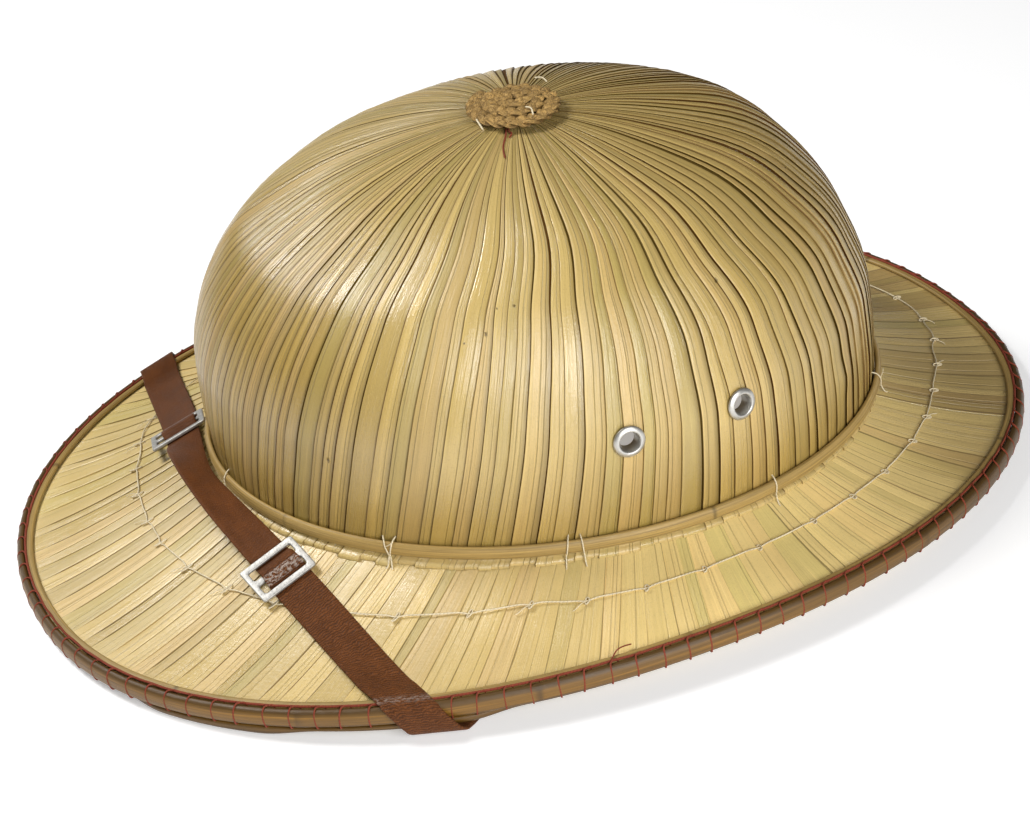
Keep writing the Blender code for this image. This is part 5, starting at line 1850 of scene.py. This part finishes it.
def soft_light(name, settings, power):
    """A square soft light seen from the helmet's middle at a bearing and a height angle."""
    turn, rise = radians(settings["bearing"]), radians(settings["height"])
    level = settings["distance"] * cos(rise)
    place = vec(level * sin(turn), -level * cos(turn), settings["distance"] * sin(rise))
    light = bpy.data.lights.new(name, "AREA")
    light.shape = "SQUARE"
    light.size = settings["size"]
    light.energy = power
    lamp = bpy.data.objects.new(name, light)
    bpy.context.scene.collection.objects.link(lamp)
    lamp.location = place
    lamp.visible_camera = False
    lamp.rotation_mode = "QUATERNION"
    lamp.rotation_quaternion = (AIM - place).to_track_quat("-Z", "Y")


class HELMET_OT_stage(bpy.types.Operator):
    """Set the pale floor, the soft light and the camera"""

    bl_idname = "helmet.stage"
    bl_label = "Stage"

    def execute(self, context):
        stage, scene = context.scene.helmet_stage, context.scene
        bm = bmesh.new()
        bmesh.ops.create_grid(bm, x_segments=1, y_segments=1, size=4.0)
        bmesh.ops.translate(bm, verts=bm.verts, vec=(0.0, 0.0, -0.0002))
        finish = Finish("pale_floor", stage.floor_colour[:])
        finish.feed(finish.shader.inputs["Emission Color"], (1.0, 1.0, 1.0))
        finish.feed(finish.shader.inputs["Emission Strength"], stage.floor_glow)
        floor = make_mesh("floor", bm, finish.done(0.9, shine=0.1))
        soft_light("key_light", KEY_LIGHT, stage.key_power)
        soft_light("fill_light", FILL_LIGHT, stage.fill_power)
        world = bpy.data.worlds.new("even_light")
        world.use_nodes = True
        ground = world.node_tree.nodes["Background"]
        ground.inputs["Color"].default_value = (1.0, 1.0, 1.0, 1.0)
        ground.inputs["Strength"].default_value = stage.sky
        scene.world = world
        scene.view_settings.view_transform = "Standard"
        lens = bpy.data.cameras.new("camera")
        lens.lens = CAMERA_LENS
        lens.sensor_width = 36.0
        lens.clip_start = 0.05
        camera = bpy.data.objects.new("camera", lens)
        scene.collection.objects.link(camera)
        back = -CAMERA_AHEAD.normalized()
        right = CAMERA_UP.cross(back).normalized()
        turn = Matrix((right, back.cross(right), back)).transposed().to_4x4()
        camera.matrix_world = Matrix.Translation(CAMERA_PLACE) @ turn
        scene.camera = camera
        return {"FINISHED"}


STEPS = (
    HELMET_OT_leaf_crown, HELMET_OT_leaf_brim, HELMET_OT_bamboo_hoops, HELMET_OT_threads,
    HELMET_OT_button, HELMET_OT_metal, HELMET_OT_strap, HELMET_OT_stage,
)
SETTINGS = {
    "helmet_leaf": LeafSettings, "helmet_bamboo": BambooSettings,
    "helmet_thread": ThreadSettings, "helmet_button": ButtonSettings,
    "helmet_strap": StrapSettings, "helmet_metal": MetalSettings, "helmet_stage": StageSettings,
}


class HELMET_PT_pieces(bpy.types.Panel):
    """The helmet's pieces and their settings"""

    bl_idname = "HELMET_PT_pieces"
    bl_label = "Palm-leaf helmet"
    bl_space_type = "VIEW_3D"
    bl_region_type = "UI"
    bl_category = "Helmet"

    def draw(self, context):
        for step in STEPS:
            self.layout.operator(step.bl_idname)
        for name, group in SETTINGS.items():
            box = self.layout.box()
            box.label(text=group.__doc__)
            for setting in group.__annotations__:
                box.prop(getattr(context.scene, name), setting)


def register():
    for name, group in SETTINGS.items():
        bpy.utils.register_class(group)
        setattr(bpy.types.Scene, name, bpy.props.PointerProperty(type=group))
    for step in (*STEPS, HELMET_PT_pieces):
        bpy.utils.register_class(step)


def unregister():
    for step in (HELMET_PT_pieces, *reversed(STEPS)):
        bpy.utils.unregister_class(step)
    for name, group in reversed(SETTINGS.items()):
        delattr(bpy.types.Scene, name)
        bpy.utils.unregister_class(group)


def main():
    register()
    for step in STEPS:
        group, name = step.bl_idname.split(".")
        getattr(getattr(bpy.ops, group), name)()


if __name__ == "__main__":
    main()
